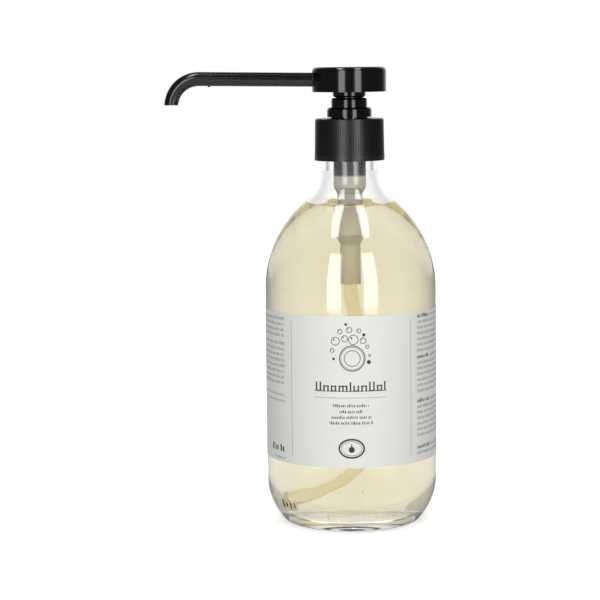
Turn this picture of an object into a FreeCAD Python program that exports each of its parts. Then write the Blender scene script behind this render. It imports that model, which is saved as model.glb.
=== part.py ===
"""Glass dish soap bottle with a screw-on lotion pump, as a parametric document in millimetres.

The origin is the centre of the bottle's base. Z points up along the bottle's axis, the spout
points along -X and the front of the label faces -Y. The pump is drawn in its locked position,
pressed right down.
"""
import FreeCAD, Part
import math
import os
import re
import Sketcher

doc = FreeCAD.newDocument("dish_soap_bottle")
dims = doc.addObject("Spreadsheet::Sheet", "dims")

# Driving dimensions: alias, value, what it measures
DRIVING = [
    # Glass bottle
    ("body_radius", 38.0, "outside radius of the straight wall"),
    ("wall", 2.4, "thickness of the straight wall and the shoulder"),
    ("heel_centre_r", 10.0, "distance of the heel's arc centre from the axis"),
    ("heel_height", 20.0, "height at which the heel meets the straight wall"),
    ("foot_fillet", 3.0, "round between the heel and the ring that the bottle stands on"),
    ("foot_ring_width", 1.8, "width of the ring that the bottle stands on"),
    ("push_up", 2.8, "rise of the base at its centre"),
    ("floor_thickness", 4.2, "thickness of the glass at the centre of the base"),
    ("inner_heel", 17.0, "inside radius of the heel"),
    ("inner_heel_floor", 4.6, "height of the inside floor where the heel ends"),
    ("shoulder_arc", 50.8, "outside radius of the shoulder's curve"),
    ("neck_arc", 14.6, "outside radius of the curve into the neck"),
    ("neck_radius", 12.55, "outside radius of the neck below the thread's crest"),
    ("neck_length", 20.0, "straight length of the neck"),
    ("mouth_radius", 9.5, "radius of the bottle's mouth"),
    ("bottle_height", 176.7, "height of the mouth's sealing face"),
    ("lip_round", 0.8, "round of the lip"),
    # Contents and label
    ("fill_depth", 35.7, "depth of the liquid's surface below the mouth"),
    ("liquid_gap", 0.08, "clearance that the liquid is drawn with"),
    ("label_foot_margin", 10.4, "height of the bare glass between the heel and the label"),
    ("label_head_margin", 8.1, "height of the bare glass between the label and the shoulder"),
    ("label_paper", 0.12, "thickness of the label"),
    ("label_glue", 0.05, "thickness of the glue under the label"),
    ("label_opening", 99.0, "open angle at the back between the label's ends"),
    # Screw cap
    ("thread_crest", 13.7, "radius of the bottle thread's crest"),
    ("crest_gap", 0.25, "clearance of the cap's wall from the thread's crest"),
    ("cap_skirt", 14.7, "how far the cap reaches down from the bottle's mouth"),
    ("cap_band_radius", 15.55, "radius of the plain band under the ribs"),
    ("cap_band_height", 2.4, "height of the plain band under the ribs"),
    ("cap_foot_radius", 15.45, "radius over the ribs at their lower end"),
    ("cap_head_radius", 15.2, "radius over the ribs at their upper end"),
    ("cap_top_wall", 1.6, "thickness of the cap's top"),
    ("cap_edge_round", 0.7, "round of the cap's upper edge"),
    ("cap_hole_gap", 0.3, "clearance of the cap's hole round the collar"),
    ("rib_count", 90, "grooves between the cap's ribs"),
    ("rib_groove_width", 0.45, "width of a groove between two ribs"),
    ("rib_groove_depth", 0.3, "depth of a groove between two ribs"),
    # Pump housing and what it holds
    ("gasket_thickness", 0.9, "thickness of the foam gasket"),
    ("flange_thickness", 1.2, "thickness of the housing's flange"),
    ("flange_radius", 12.6, "radius of the housing's flange"),
    ("housing_radius", 7.2, "outside radius of the housing's wide part"),
    ("housing_bore", 6.1, "inside radius of the housing's wide part"),
    ("housing_length", 28.0, "length of the wide part under the flange"),
    ("step_height", 3.2, "height of the cone under the wide part"),
    ("chamber_radius", 5.6, "outside radius of the pumping chamber"),
    ("chamber_bore", 4.7, "inside radius of the pumping chamber"),
    ("chamber_depth", 27.8, "depth under the flange at which the chamber's bore begins"),
    ("chamber_length", 24.2, "length of the chamber's bore, down to the spring's ledge"),
    ("chamber_cone", 4.2, "height of the cone under the chamber"),
    ("socket_radius", 3.45, "outside radius of the dip tube's socket"),
    ("socket_reach", 19.0, "distance from the spring's ledge to the socket's lower end"),
    ("socket_depth", 10.0, "depth to which the dip tube is pushed in"),
    ("valve_hole", 1.3, "radius of the inlet hole under the ball"),
    ("valve_web", 0.8, "thickness of the wall round the inlet hole"),
    ("valve_bore", 2.6, "inside radius of the ball's cage"),
    ("valve_cone", 1.5, "height of the ball's conical seat"),
    ("cage_height", 3.1, "height from the seat to the ring that keeps the ball in"),
    ("cage_lip", 0.75, "how far the ring that keeps the ball in stands out"),
    ("inlet_ball_radius", 2.0, "radius of the inlet ball"),
    ("ball_gap", 0.02, "clearance that a ball is drawn with on its seat"),
    ("vent_radius", 0.6, "radius of the air vent in the housing"),
    ("vent_depth", 8.6, "depth of the air vent under the flange"),
    ("snap_depth", 4.0, "depth under the flange of the bead that snaps the collar in"),
    ("snap_bead", 0.22, "how far the snap bead stands out"),
    ("snap_length", 1.6, "length of the snap bead"),
    ("fit_gap", 0.05, "clearance between pieces that are pushed together"),
    ("run_gap", 0.08, "clearance round a piece that slides or turns"),
    # Dip tube
    ("tube_radius", 2.5, "outside radius of the dip tube"),
    ("tube_bore", 1.9, "inside radius of the dip tube"),
    ("tube_straight", 1.2, "straight length of the tube below its socket"),
    ("tube_bend", 30.0, "radius of the bend below the socket"),
    ("tube_lean", 8.0, "angle at which the tube leans"),
    ("tube_curl", 33.0, "radius of the curl at the tube's lower end"),
    ("tube_sweep", 95.0, "angle of the curl at the tube's lower end"),
    ("tube_floor_gap", 1.65, "clearance of the curl above the middle of the floor"),
    # Lock collar
    ("collar_neck_radius", 8.3, "radius of the collar where it passes the cap"),
    ("collar_lift", 0.7, "gap between the cap's top and the collar's lower ring"),
    ("collar_ring_radius", 9.95, "radius of the collar's lower ring"),
    ("collar_ring_height", 4.2, "height of the collar's lower ring"),
    ("collar_top_radius", 7.95, "radius of the collar's upper ring"),
    ("collar_top_height", 4.2, "height of the collar's upper ring"),
    ("collar_chamfer", 0.8, "chamfer of the collar's upper edge"),
    ("collar_bore", 6.4, "radius of the bore that takes the head's plug"),
    ("collar_bore_depth", 9.0, "depth of the bore that takes the head's plug"),
    ("sleeve_bore", 5.0, "inside radius of the collar's sleeve"),
    ("sleeve_length", 22.6, "length of the sleeve under the housing's flange"),
    ("guide_length", 2.4, "length of the stem's guide in the sleeve"),
    # Stem, rod and piston
    ("stem_radius", 3.0, "outside radius of the stem"),
    ("stem_bore", 2.0, "radius of the stem's bore where it takes the rod"),
    ("stem_passage", 1.3, "radius of the stem's bore above the outlet ball"),
    ("stem_reach", 2.4, "how far the stem reaches out of the collar's sleeve"),
    ("stem_socket", 5.6, "depth to which the stem is pushed into the head"),
    ("rod_plug", 7.4, "length of the rod inside the stem"),
    ("rod_bore", 1.1, "radius of the rod's bore"),
    ("rod_flange", 3.9, "radius of the rod's flange under the piston"),
    ("rod_flange_height", 1.0, "height of the rod's flange"),
    ("outlet_ball_radius", 1.5, "radius of the outlet ball"),
    ("outlet_room", 1.6, "height that the outlet ball can rise"),
    ("piston_length", 5.6, "length of the piston seal"),
    ("piston_hub", 1.0, "wall of the piston seal's hub"),
    ("piston_waist", 3.7, "radius of the piston seal between its lips"),
    ("piston_lip", 0.45, "thickness of a lip's edge"),
    ("piston_lip_length", 1.9, "length of a lip"),
    # Spring
    ("spring_radius", 3.9, "mean radius of the spring"),
    ("spring_wire", 0.8, "diameter of the spring's wire"),
    ("spring_turns", 5, "turns of the spring"),
    ("spring_pitch", 0.9, "pitch of the spring with the pump pressed down"),
    # Head
    ("head_radius", 16.45, "radius of the head"),
    ("head_height", 10.9, "height of the head's disc"),
    ("head_round", 2.0, "round of the head's upper edge"),
    ("head_wall", 1.4, "thickness of the head's side wall"),
    ("head_top_wall", 1.5, "thickness of the head's top"),
    ("head_gap", 0.3, "gap between the collar and the head's skirt"),
    ("skirt_radius", 7.3, "radius of the skirt under the head"),
    ("skirt_height", 2.4, "height of the skirt under the head"),
    ("skirt_chamfer", 0.7, "chamfer of the skirt's lower edge"),
    ("plug_gap", 0.25, "clearance of the head's plug in the collar"),
    ("plug_length", 7.8, "length of the plug under the skirt"),
    ("plug_bore", 4.9, "inside radius of the plug"),
    ("head_rib", 1.0, "thickness of a rib inside the head"),
    ("head_rib_count", 8, "ribs inside the head"),
    ("head_rib_recess", 1.8, "how far the ribs end above the head's lower edge"),
    # Spout
    ("spout_radius", 3.12, "outside radius of the spout"),
    ("spout_bore", 2.0, "inside radius of the spout"),
    ("spout_height", 5.15, "height of the spout's axis above the head's lower edge"),
    ("spout_rise", 0.9, "angle at which the spout rises"),
    ("spout_reach", 79.0, "distance of the spout's outlet from the pump's axis"),
    ("spout_bend", 12.3, "radius of the spout's bend"),
    ("spout_drop", 10.4, "drop from the spout's axis at the head to its outlet"),
    ("spout_start", 5.2, "distance of the spout's inner end from the pump's axis"),
    ("spout_boss_wall", 1.1, "wall round the spout inside the head"),
]

# Dimensions that follow from the driving ones: alias, formula, what it measures
DERIVED = [
    ("heel_arc", "body_radius - heel_centre_r", "outside radius of the heel's curve"),
    ("foot_ring_outer",
     "heel_centre_r + sqrt((heel_arc - foot_fillet)^2 - (heel_height - foot_fillet)^2)",
     "outside radius of the ring that the bottle stands on"),
    ("foot_ring_inner", "foot_ring_outer - foot_ring_width",
     "inside radius of the ring that the bottle stands on"),
    ("foot_end_r",
     "heel_centre_r + (foot_ring_outer - heel_centre_r) * heel_arc / (heel_arc - foot_fillet)",
     "radius at which the foot's round meets the heel"),
    ("foot_end_z", "heel_height - (heel_height - foot_fillet) * heel_arc / (heel_arc - foot_fillet)",
     "height at which the foot's round meets the heel"),
    ("push_up_arc", "(foot_ring_inner^2 + push_up^2) / (2 * push_up)", "radius of the base's dome"),
    ("floor_height", "push_up + floor_thickness", "height of the inside floor at its centre"),
    ("floor_edge", "body_radius - wall - inner_heel", "radius at which the inside heel ends"),
    ("floor_rise", "floor_height - inner_heel_floor", "rise of the inside floor"),
    ("shoulder_r", "body_radius - shoulder_arc", "shoulder's arc centre, from the axis"),
    ("neck_r", "neck_radius + neck_arc", "neck's arc centre, from the axis"),
    ("neck_inner_arc", "neck_r - mouth_radius", "inside radius of the curve into the neck"),
    ("shoulder_inner_arc", "shoulder_arc - wall", "inside radius of the shoulder's curve"),
    ("neck_rise", "sqrt((shoulder_arc + neck_arc)^2 - (neck_r - shoulder_r)^2)",
     "height of the outside neck's arc centre above the shoulder's"),
    ("shoulder_start", "bottle_height - neck_length - neck_rise",
     "height at which the shoulder begins"),
    ("neck_inner_rise", "sqrt((shoulder_inner_arc + neck_inner_arc)^2 - (neck_r - shoulder_r)^2)",
     "height of the inside neck's arc centre above the shoulder's"),
    ("fill_height", "bottle_height - fill_depth", "height of the liquid's surface"),
    ("label_bottom", "heel_height + label_foot_margin", "height of the label's lower edge"),
    ("label_height", "shoulder_start - label_head_margin - label_bottom", "height of the label"),
    ("flange_bottom", "bottle_height + gasket_thickness", "underside of the housing's flange"),
    ("flange_top", "flange_bottom + flange_thickness", "upper face of the housing's flange"),
    ("cap_top", "flange_top + cap_top_wall", "upper face of the cap"),
    ("cap_bottom", "bottle_height - cap_skirt", "height of the cap's lower edge"),
    ("cap_bore", "thread_crest + crest_gap", "inside radius of the cap's wall"),
    ("ribs_bottom", "cap_bottom + cap_band_height", "height at which the ribs begin"),
    ("ring_bottom", "cap_top + collar_lift", "underside of the collar's lower ring"),
    ("ring_top", "ring_bottom + collar_ring_height", "top of the collar's lower ring"),
    ("collar_top", "ring_top + collar_top_height", "top of the collar"),
    ("sleeve_radius", "housing_bore - fit_gap", "outside radius of the collar's sleeve"),
    ("sleeve_bottom", "flange_bottom - sleeve_length", "height of the sleeve's lower end"),
    ("snap_height", "flange_bottom - snap_depth", "height of the middle of the snap bead"),
    ("housing_step", "flange_bottom - housing_length", "height at which the wide part ends"),
    ("chamber_top", "flange_bottom - chamber_depth", "height at which the chamber's bore begins"),
    ("chamber_floor", "chamber_top - chamber_length", "height of the ledge for the spring"),
    ("socket_bottom", "chamber_floor - socket_reach", "height of the socket's lower end"),
    ("socket_top", "socket_bottom + socket_depth", "blind end of the dip tube's socket"),
    ("seat_bottom", "socket_top + valve_web", "lower end of the ball's conical seat"),
    ("cage_bottom", "seat_bottom + valve_cone", "upper end of the ball's conical seat"),
    ("cage_top", "cage_bottom + cage_height", "underside of the ring that keeps the ball in"),
    ("seat_angle", "atan((valve_bore - valve_hole) / valve_cone)", "half angle of the ball's seat"),
    ("inlet_ball_z",
     "seat_bottom - valve_hole / tan(seat_angle) + (inlet_ball_radius + ball_gap) / sin(seat_angle)",
     "height of the inlet ball's centre"),
    ("tube_run",
     "(socket_bottom - tube_straight - tube_bend * sin(tube_lean) - tube_curl * (1 + sin(tube_lean))"
     " - floor_height - tube_radius - tube_floor_gap) / cos(tube_lean)",
     "length of the leaning run"),
    ("spring_bottom", "chamber_floor + fit_gap", "lower end of the spring"),
    ("spring_height", "spring_turns * spring_pitch + spring_wire", "length of the pressed spring"),
    ("rod_bottom", "spring_bottom + spring_height + fit_gap", "underside of the rod's flange"),
    ("piston_bottom", "rod_bottom + rod_flange_height", "underside of the piston seal"),
    ("piston_top", "piston_bottom + piston_length", "top of the piston seal"),
    ("stem_bottom", "sleeve_bottom - stem_reach", "height of the stem's lower end"),
    ("rod_top", "stem_bottom + rod_plug", "top of the rod inside the stem"),
    ("outlet_ball_z", "rod_top + sqrt(outlet_ball_radius^2 - rod_bore^2) + ball_gap",
     "height of the outlet ball's centre"),
    ("outlet_stop", "outlet_ball_z + outlet_ball_radius + outlet_room",
     "height at which the stem's bore narrows"),
    ("skirt_bottom", "collar_top + head_gap", "underside of the head's skirt"),
    ("head_bottom", "skirt_bottom + skirt_height", "lower edge of the head's disc"),
    ("head_top", "head_bottom + head_height", "top of the head"),
    ("head_ceiling", "head_top - head_top_wall", "underside of the head's top"),
    ("spout_axis", "head_bottom + spout_height", "height of the spout's axis at the pump's axis"),
    ("stem_top", "spout_axis - spout_radius", "top of the stem inside the head"),
    ("spout_arc_x", "spout_bend - spout_reach", "bend's centre, along X"),
    ("spout_arc_z", "spout_axis - tan(spout_rise) * spout_arc_x - spout_bend / cos(spout_rise)",
     "bend's centre, along Z"),
    ("outlet_z", "spout_axis - spout_drop", "height of the spout's outlet"),
]


def fill_sheet():
    """Write every dimension into the sheet with its alias."""
    for row, (alias, number, note) in enumerate(DRIVING, start=1):
        dims.set(f"A{row}", note)
        dims.set(f"B{row}", str(number))
        dims.setAlias(f"B{row}", alias)
    for row, (alias, formula, note) in enumerate(DERIVED, start=len(DRIVING) + 1):
        dims.set(f"A{row}", note)
        dims.set(f"B{row}", f"={formula}")
        dims.setAlias(f"B{row}", alias)
    doc.recompute()


ALIASES = {alias for alias, _, _ in DRIVING + DERIVED}


def bound(expression):
    """Give the expression with each dimension's name pointing at the sheet."""
    return re.sub(r"[a-z_]+", lambda m: f"dims.{m[0]}" if m[0] in ALIASES else m[0], str(expression))


def size(expression):
    """Give the present value of an expression."""
    result = dims.evalExpression(bound(expression))
    return float(getattr(result, "Value", result))


def bind(thing, **links):
    """Bind each named property of a thing to an expression."""
    for prop, expression in links.items():
        thing.setExpression(prop, bound(expression))


def new_body(label):
    """Start the sub-part with this label."""
    body = doc.addObject("PartDesign::Body", label)
    body.Label = label
    return body


def origin_item(body, role):
    """Give the body's own origin plane or axis with this role."""
    return next(item for item in body.Origin.OriginFeatures if item.Role == role)


def new_sketch(body, name, role, lift=None, tilt=None):
    """Attach a sketch to one of the body's origin planes, lifted or tilted as asked."""
    sketch = body.newObject("Sketcher::SketchObject", f"{body.Label}_{name}")
    sketch.AttachmentSupport = [(origin_item(body, role), "")]
    sketch.MapMode = "FlatFace"
    if tilt:
        rotation = FreeCAD.Rotation(FreeCAD.Vector(1, 0, 0), size(tilt))
        sketch.AttachmentOffset = FreeCAD.Placement(FreeCAD.Vector(), rotation)
        sketch.setExpression(".AttachmentOffset.Rotation.Angle", bound(tilt))
    for axis, expression in (lift or {}).items():
        sketch.setExpression(f".AttachmentOffset.Base.{axis}", bound(expression))
    return sketch


def pin_point(sketch, geo, vertex, x, y):
    """Place a sketch point at two bound coordinates."""
    for kind, expression in (("DistanceX", x), ("DistanceY", y)):
        index = sketch.addConstraint(Sketcher.Constraint(kind, -1, 1, geo, vertex, size(expression)))
        sketch.setExpression(f"Constraints[{index}]", bound(expression))


def pin_radius(sketch, geo, radius):
    """Bind the radius of a sketch arc or circle."""
    index = sketch.addConstraint(Sketcher.Constraint("Radius", geo, size(radius)))
    sketch.setExpression(f"Constraints[{index}]", bound(radius))


def arc_between(start, end, radius, turn, far=False):
    """Give the arc from start to end that turns left (+1) or right (-1), the long way if far."""
    chord = end - start
    half = chord.Length / 2
    reach = math.sqrt(max(radius * radius - half * half, 0)) * (-1 if far else 1)
    left = FreeCAD.Vector(-chord.y, chord.x, 0).normalize()
    centre = (start + end) * 0.5 + left * (reach * turn)
    first, last = (start, end) if turn > 0 else (end, start)
    angles = [math.atan2(p.y - centre.y, p.x - centre.x) for p in (first, last)]
    if angles[1] < angles[0]:
        angles[1] += 2 * math.pi
    return Part.ArcOfCircle(Part.Circle(centre, FreeCAD.Vector(0, 0, 1), radius), *angles)


def draw_outline(sketch, corners, closed=True):
    """Draw lines and arcs through corners; a corner is (x, y) or (x, y, radius, turn[, far]).

    The radius and turn shape the arc that leaves that corner.
    """
    points = [FreeCAD.Vector(size(c[0]), size(c[1]), 0) for c in corners]
    count = len(corners) if closed else len(corners) - 1
    ends = []
    for i in range(count):
        start, end, arc = points[i], points[(i + 1) % len(points)], corners[i][2:]
        if arc:
            geo = sketch.addGeometry(arc_between(start, end, size(arc[0]), *arc[1:]), False)
            pin_radius(sketch, geo, arc[0])
            ends.append((geo, 1, 2) if arc[1] > 0 else (geo, 2, 1))
        else:
            geo = sketch.addGeometry(Part.LineSegment(start, end), False)
            ends.append((geo, 1, 2))
    for i, (geo, first, last) in enumerate(ends):
        pin_point(sketch, geo, first, corners[i][0], corners[i][1])
        if closed or i + 1 < count:
            after = ends[(i + 1) % count]
            sketch.addConstraint(Sketcher.Constraint("Coincident", geo, last, after[0], after[1]))
        else:
            pin_point(sketch, geo, last, corners[-1][0], corners[-1][1])


def draw_circle(sketch, x, y, radius):
    """Draw a circle with a bound centre and radius."""
    circle = Part.Circle(FreeCAD.Vector(size(x), size(y), 0), FreeCAD.Vector(0, 0, 1), size(radius))
    geo = sketch.addGeometry(circle, False)
    pin_point(sketch, geo, 3, x, y)
    pin_radius(sketch, geo, radius)


def revolve(body, name, corners, cut=False):
    """Turn an outline of (radius, height) corners about the Z axis, as solid or as a cut."""
    sketch = new_sketch(body, name, "XZ_Plane")
    draw_outline(sketch, corners)
    kind = "PartDesign::Groove" if cut else "PartDesign::Revolution"
    turned = body.newObject(kind, f"{body.Label}_{name}_turned")
    turned.Profile = sketch
    turned.ReferenceAxis = (sketch, ["V_Axis"])
    turned.Angle = 360
    body.Tip = turned
    return turned


def sweep(body, name, path, profile, cut=False):
    """Run a profile along a path, as solid or as a cut."""
    kind = "PartDesign::SubtractivePipe" if cut else "PartDesign::AdditivePipe"
    pipe = body.newObject(kind, f"{body.Label}_{name}")
    pipe.Profile = profile
    pipe.Spine = path
    body.Tip = pipe
    return pipe


def extrude(body, name, sketch, length, cut=False, middle=False, back=False):
    """Pad a sketch, or pocket with it, over a bound length."""
    feature = body.newObject("PartDesign::Pocket" if cut else "PartDesign::Pad", f"{body.Label}_{name}")
    feature.Profile = sketch
    feature.Midplane = middle
    feature.Reversed = back
    bind(feature, Length=length)
    body.Tip = feature
    return feature


def repeat_round(body, name, feature, count):
    """Repeat a feature evenly about the Z axis."""
    pattern = body.newObject("PartDesign::PolarPattern", f"{body.Label}_{name}")
    pattern.Originals = [feature]
    pattern.Axis = (origin_item(body, "Z_Axis"), [""])
    pattern.Angle = 360
    bind(pattern, Occurrences=count)
    body.Tip = pattern
    return pattern


def bottle_inside(gap):
    """Give the corners of the bottle's inside from the shoulder down to the floor's centre."""
    return [
        (f"body_radius - wall - {gap}", "shoulder_start"),
        (f"body_radius - wall - {gap}", "inner_heel_floor + inner_heel", f"inner_heel - {gap}", -1),
        ("floor_edge", f"inner_heel_floor + {gap}", "(floor_edge^2 + floor_rise^2) / (2 * floor_rise)", 1),
        ("0", f"floor_height + {gap}"),
    ]


def make_bottle():
    """Blown glass: heel, straight wall, shoulder, neck and lip, on a ring with a domed middle."""
    body = new_body("glass_bottle")
    outer_share = "shoulder_arc / (shoulder_arc + neck_arc)"
    inner_share = "shoulder_inner_arc / (shoulder_inner_arc + neck_inner_arc)"
    revolve(body, "wall", [
        ("foot_ring_inner", "0"),
        ("foot_ring_outer", "0", "foot_fillet", 1),
        ("foot_end_r", "foot_end_z", "heel_arc", 1),
        ("body_radius", "heel_height"),
        ("body_radius", "shoulder_start", "shoulder_arc", 1),
        (f"shoulder_r + (neck_r - shoulder_r) * {outer_share}",
         f"shoulder_start + neck_rise * {outer_share}", "neck_arc", -1),
        ("neck_radius", "shoulder_start + neck_rise"),
        ("neck_radius", "bottle_height - lip_round", "lip_round", 1),
        ("neck_radius - lip_round", "bottle_height"),
        ("mouth_radius + lip_round", "bottle_height", "lip_round", 1),
        ("mouth_radius", "bottle_height - lip_round"),
        ("mouth_radius", "shoulder_start + neck_inner_rise", "neck_inner_arc", 1),
        (f"shoulder_r + (neck_r - shoulder_r) * {inner_share}",
         f"shoulder_start + neck_inner_rise * {inner_share}", "shoulder_inner_arc", -1),
        *bottle_inside("0"),
        ("0", "push_up", "push_up_arc", -1),
    ])
    return body


def tube_path(body, name, extra="0"):
    """Draw the dip tube's line: down out of the socket, leaning, then curling along the floor."""
    sketch = new_sketch(body, name, "XZ_Plane")
    bend_z = "(socket_bottom - tube_straight)"
    run_x = "(tube_bend * (1 - cos(tube_lean)) + tube_run * sin(tube_lean))"
    run_z = f"({bend_z} - tube_bend * sin(tube_lean) - tube_run * cos(tube_lean))"
    turn = f"(tube_sweep + {extra} - tube_lean)"
    draw_outline(sketch, [
        ("0", "socket_top"),
        ("0", bend_z, "tube_bend", 1),
        ("tube_bend * (1 - cos(tube_lean))", f"{bend_z} - tube_bend * sin(tube_lean)"),
        (run_x, run_z, "tube_curl", -1),
        (f"{run_x} - tube_curl * cos(tube_lean) + tube_curl * cos({turn})",
         f"{run_z} - tube_curl * sin(tube_lean) - tube_curl * sin({turn})"),
    ], closed=False)
    return sketch


def make_dip_tube():
    """Extruded plastic tube, pushed into the housing's socket."""
    body = new_body("dip_tube")
    path = tube_path(body, "path")
    ring = new_sketch(body, "ring", "XY_Plane", lift={"z": "socket_top"})
    draw_circle(ring, "0", "0", "tube_radius")
    draw_circle(ring, "0", "0", "tube_bore")
    sweep(body, "tube", path, ring)
    return body


def make_liquid():
    """The soap, with room for the pump's chamber and the dip tube."""
    body = new_body("liquid_soap")
    revolve(body, "fill", [
        ("0", "fill_height"),
        ("shoulder_r + sqrt((shoulder_inner_arc - liquid_gap)^2 - (fill_height - shoulder_start)^2)",
         "fill_height", "shoulder_inner_arc - liquid_gap", -1),
        *bottle_inside("liquid_gap"),
    ])
    revolve(body, "pump_room", [
        ("0", "socket_bottom - liquid_gap"),
        ("socket_radius + liquid_gap", "socket_bottom - liquid_gap"),
        ("socket_radius + liquid_gap", "chamber_floor - chamber_cone"),
        ("chamber_radius + liquid_gap", "chamber_floor"),
        ("chamber_radius + liquid_gap", "fill_height + liquid_gap"),
        ("0", "fill_height + liquid_gap"),
    ], cut=True)
    path = tube_path(body, "tube_room_path", extra="1")
    ring = new_sketch(body, "tube_room_ring", "XY_Plane", lift={"z": "socket_top"})
    draw_circle(ring, "0", "0", "tube_radius + liquid_gap")
    sweep(body, "tube_room", path, ring, cut=True)
    return body


def make_label():
    """Paper label, wrapped round the straight wall with a seam at the back."""
    body = new_body("paper_label")
    sketch = new_sketch(body, "arc", "XY_Plane", lift={"z": "label_bottom"})
    inner = "(body_radius + label_glue)"
    outer = "(body_radius + label_glue + label_paper)"
    draw_outline(sketch, [
        (f"-{outer} * sin(label_opening / 2)", f"{outer} * cos(label_opening / 2)", outer, 1, True),
        (f"{outer} * sin(label_opening / 2)", f"{outer} * cos(label_opening / 2)"),
        (f"{inner} * sin(label_opening / 2)", f"{inner} * cos(label_opening / 2)", inner, -1, True),
        (f"-{inner} * sin(label_opening / 2)", f"{inner} * cos(label_opening / 2)"),
    ])
    extrude(body, "sheet", sketch, "label_height")
    return body


def make_cap():
    """Moulded screw cap, open in the middle for the collar, with ribs for the fingers."""
    body = new_body("screw_cap")
    hole = "collar_neck_radius + cap_hole_gap"
    revolve(body, "wall", [
        ("cap_bore", "cap_bottom"),
        ("cap_band_radius", "cap_bottom"),
        ("cap_band_radius", "ribs_bottom"),
        ("cap_foot_radius", "ribs_bottom"),
        ("cap_head_radius", "cap_top - cap_edge_round", "cap_edge_round", 1),
        ("cap_head_radius - cap_edge_round", "cap_top"),
        (hole, "cap_top"),
        (hole, "flange_top"),
        ("cap_bore", "flange_top"),
    ])
    sketch = new_sketch(body, "groove", "XZ_Plane")
    draw_outline(sketch, [
        ("cap_foot_radius - rib_groove_depth", "ribs_bottom"),
        ("cap_band_radius + rib_groove_depth", "ribs_bottom"),
        ("cap_band_radius + rib_groove_depth", "cap_top - cap_edge_round"),
        ("cap_head_radius - rib_groove_depth", "cap_top - cap_edge_round"),
    ])
    groove = extrude(body, "groove_cut", sketch, "rib_groove_width", cut=True, middle=True)
    repeat_round(body, "grooves", groove, "rib_count")
    return body


def make_gasket():
    """Foam ring between the glass lip and the housing's flange."""
    body = new_body("gasket")
    sketch = new_sketch(body, "ring", "XY_Plane", lift={"z": "bottle_height"})
    draw_circle(sketch, "0", "0", "flange_radius")
    draw_circle(sketch, "0", "0", "housing_radius + run_gap")
    extrude(body, "washer", sketch, "gasket_thickness")
    return body


def make_housing():
    """Moulded pump body: flange, wide sleeve, pumping chamber, ball cage and tube socket."""
    body = new_body("pump_housing")
    lip = "valve_bore - cage_lip"
    revolve(body, "wall", [
        ("housing_bore", "flange_top"),
        ("housing_bore", "snap_height + snap_length / 2"),
        ("housing_bore + snap_bead", "snap_height + snap_length / 2 - snap_bead"),
        ("housing_bore + snap_bead", "snap_height - snap_length / 2 + snap_bead"),
        ("housing_bore", "snap_height - snap_length / 2"),
        ("housing_bore", "chamber_top + housing_bore - chamber_bore"),
        ("chamber_bore", "chamber_top"),
        ("chamber_bore", "chamber_floor"),
        ("valve_bore", "chamber_floor"),
        ("valve_bore", "cage_top + 2 * cage_lip"),
        (lip, "cage_top + cage_lip"),
        ("valve_bore", "cage_top"),
        ("valve_bore", "cage_bottom"),
        ("valve_hole", "seat_bottom"),
        ("valve_hole", "socket_top"),
        ("tube_radius + fit_gap", "socket_top"),
        ("tube_radius + fit_gap", "socket_bottom"),
        ("socket_radius", "socket_bottom"),
        ("socket_radius", "chamber_floor - chamber_cone"),
        ("chamber_radius", "chamber_floor"),
        ("chamber_radius", "housing_step - step_height"),
        ("housing_radius", "housing_step"),
        ("housing_radius", "flange_bottom"),
        ("flange_radius", "flange_bottom"),
        ("flange_radius", "flange_top"),
    ])
    sketch = new_sketch(body, "vent", "XZ_Plane")
    draw_circle(sketch, "0", "flange_bottom - vent_depth", "vent_radius")
    extrude(body, "vent_cut", sketch, "housing_radius + run_gap", cut=True)
    return body


def make_collar():
    """Moulded collar: rings above the cap, a bore for the head's plug and a long inner sleeve."""
    body = new_body("lock_collar")
    bead = "sleeve_radius + snap_bead"
    revolve(body, "wall", [
        ("stem_radius + run_gap", "sleeve_bottom"),
        ("sleeve_radius - collar_chamfer", "sleeve_bottom"),
        ("sleeve_radius", "sleeve_bottom + collar_chamfer"),
        ("sleeve_radius", "snap_height - snap_length / 2"),
        (bead, "snap_height - snap_length / 2 + snap_bead"),
        (bead, "snap_height + snap_length / 2 - snap_bead"),
        ("sleeve_radius", "snap_height + snap_length / 2"),
        ("sleeve_radius", "flange_top"),
        ("collar_neck_radius", "flange_top"),
        ("collar_neck_radius", "ring_bottom"),
        ("collar_ring_radius", "ring_bottom"),
        ("collar_ring_radius - run_gap", "ring_top - collar_chamfer"),
        ("collar_ring_radius - collar_chamfer", "ring_top"),
        ("collar_top_radius", "ring_top"),
        ("collar_top_radius", "collar_top - collar_chamfer"),
        ("collar_top_radius - collar_chamfer", "collar_top"),
        ("collar_bore", "collar_top"),
        ("collar_bore", "collar_top - collar_bore_depth"),
        ("sleeve_bore", "collar_top - collar_bore_depth - (collar_bore - sleeve_bore)"),
        ("sleeve_bore", "sleeve_bottom + guide_length + (sleeve_bore - stem_radius - run_gap) / 2"),
        ("stem_radius + run_gap", "sleeve_bottom + guide_length"),
    ])
    return body


def make_stem():
    """Hollow stem, pushed into the head, which drives the rod and holds the outlet ball."""
    body = new_body("stem")
    revolve(body, "wall", [
        ("stem_bore", "stem_bottom"),
        ("stem_radius", "stem_bottom"),
        ("stem_radius", "stem_top"),
        ("stem_passage", "stem_top"),
        ("stem_passage", "outlet_stop"),
        ("stem_bore", "outlet_stop - (stem_bore - stem_passage)"),
    ])
    return body


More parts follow.
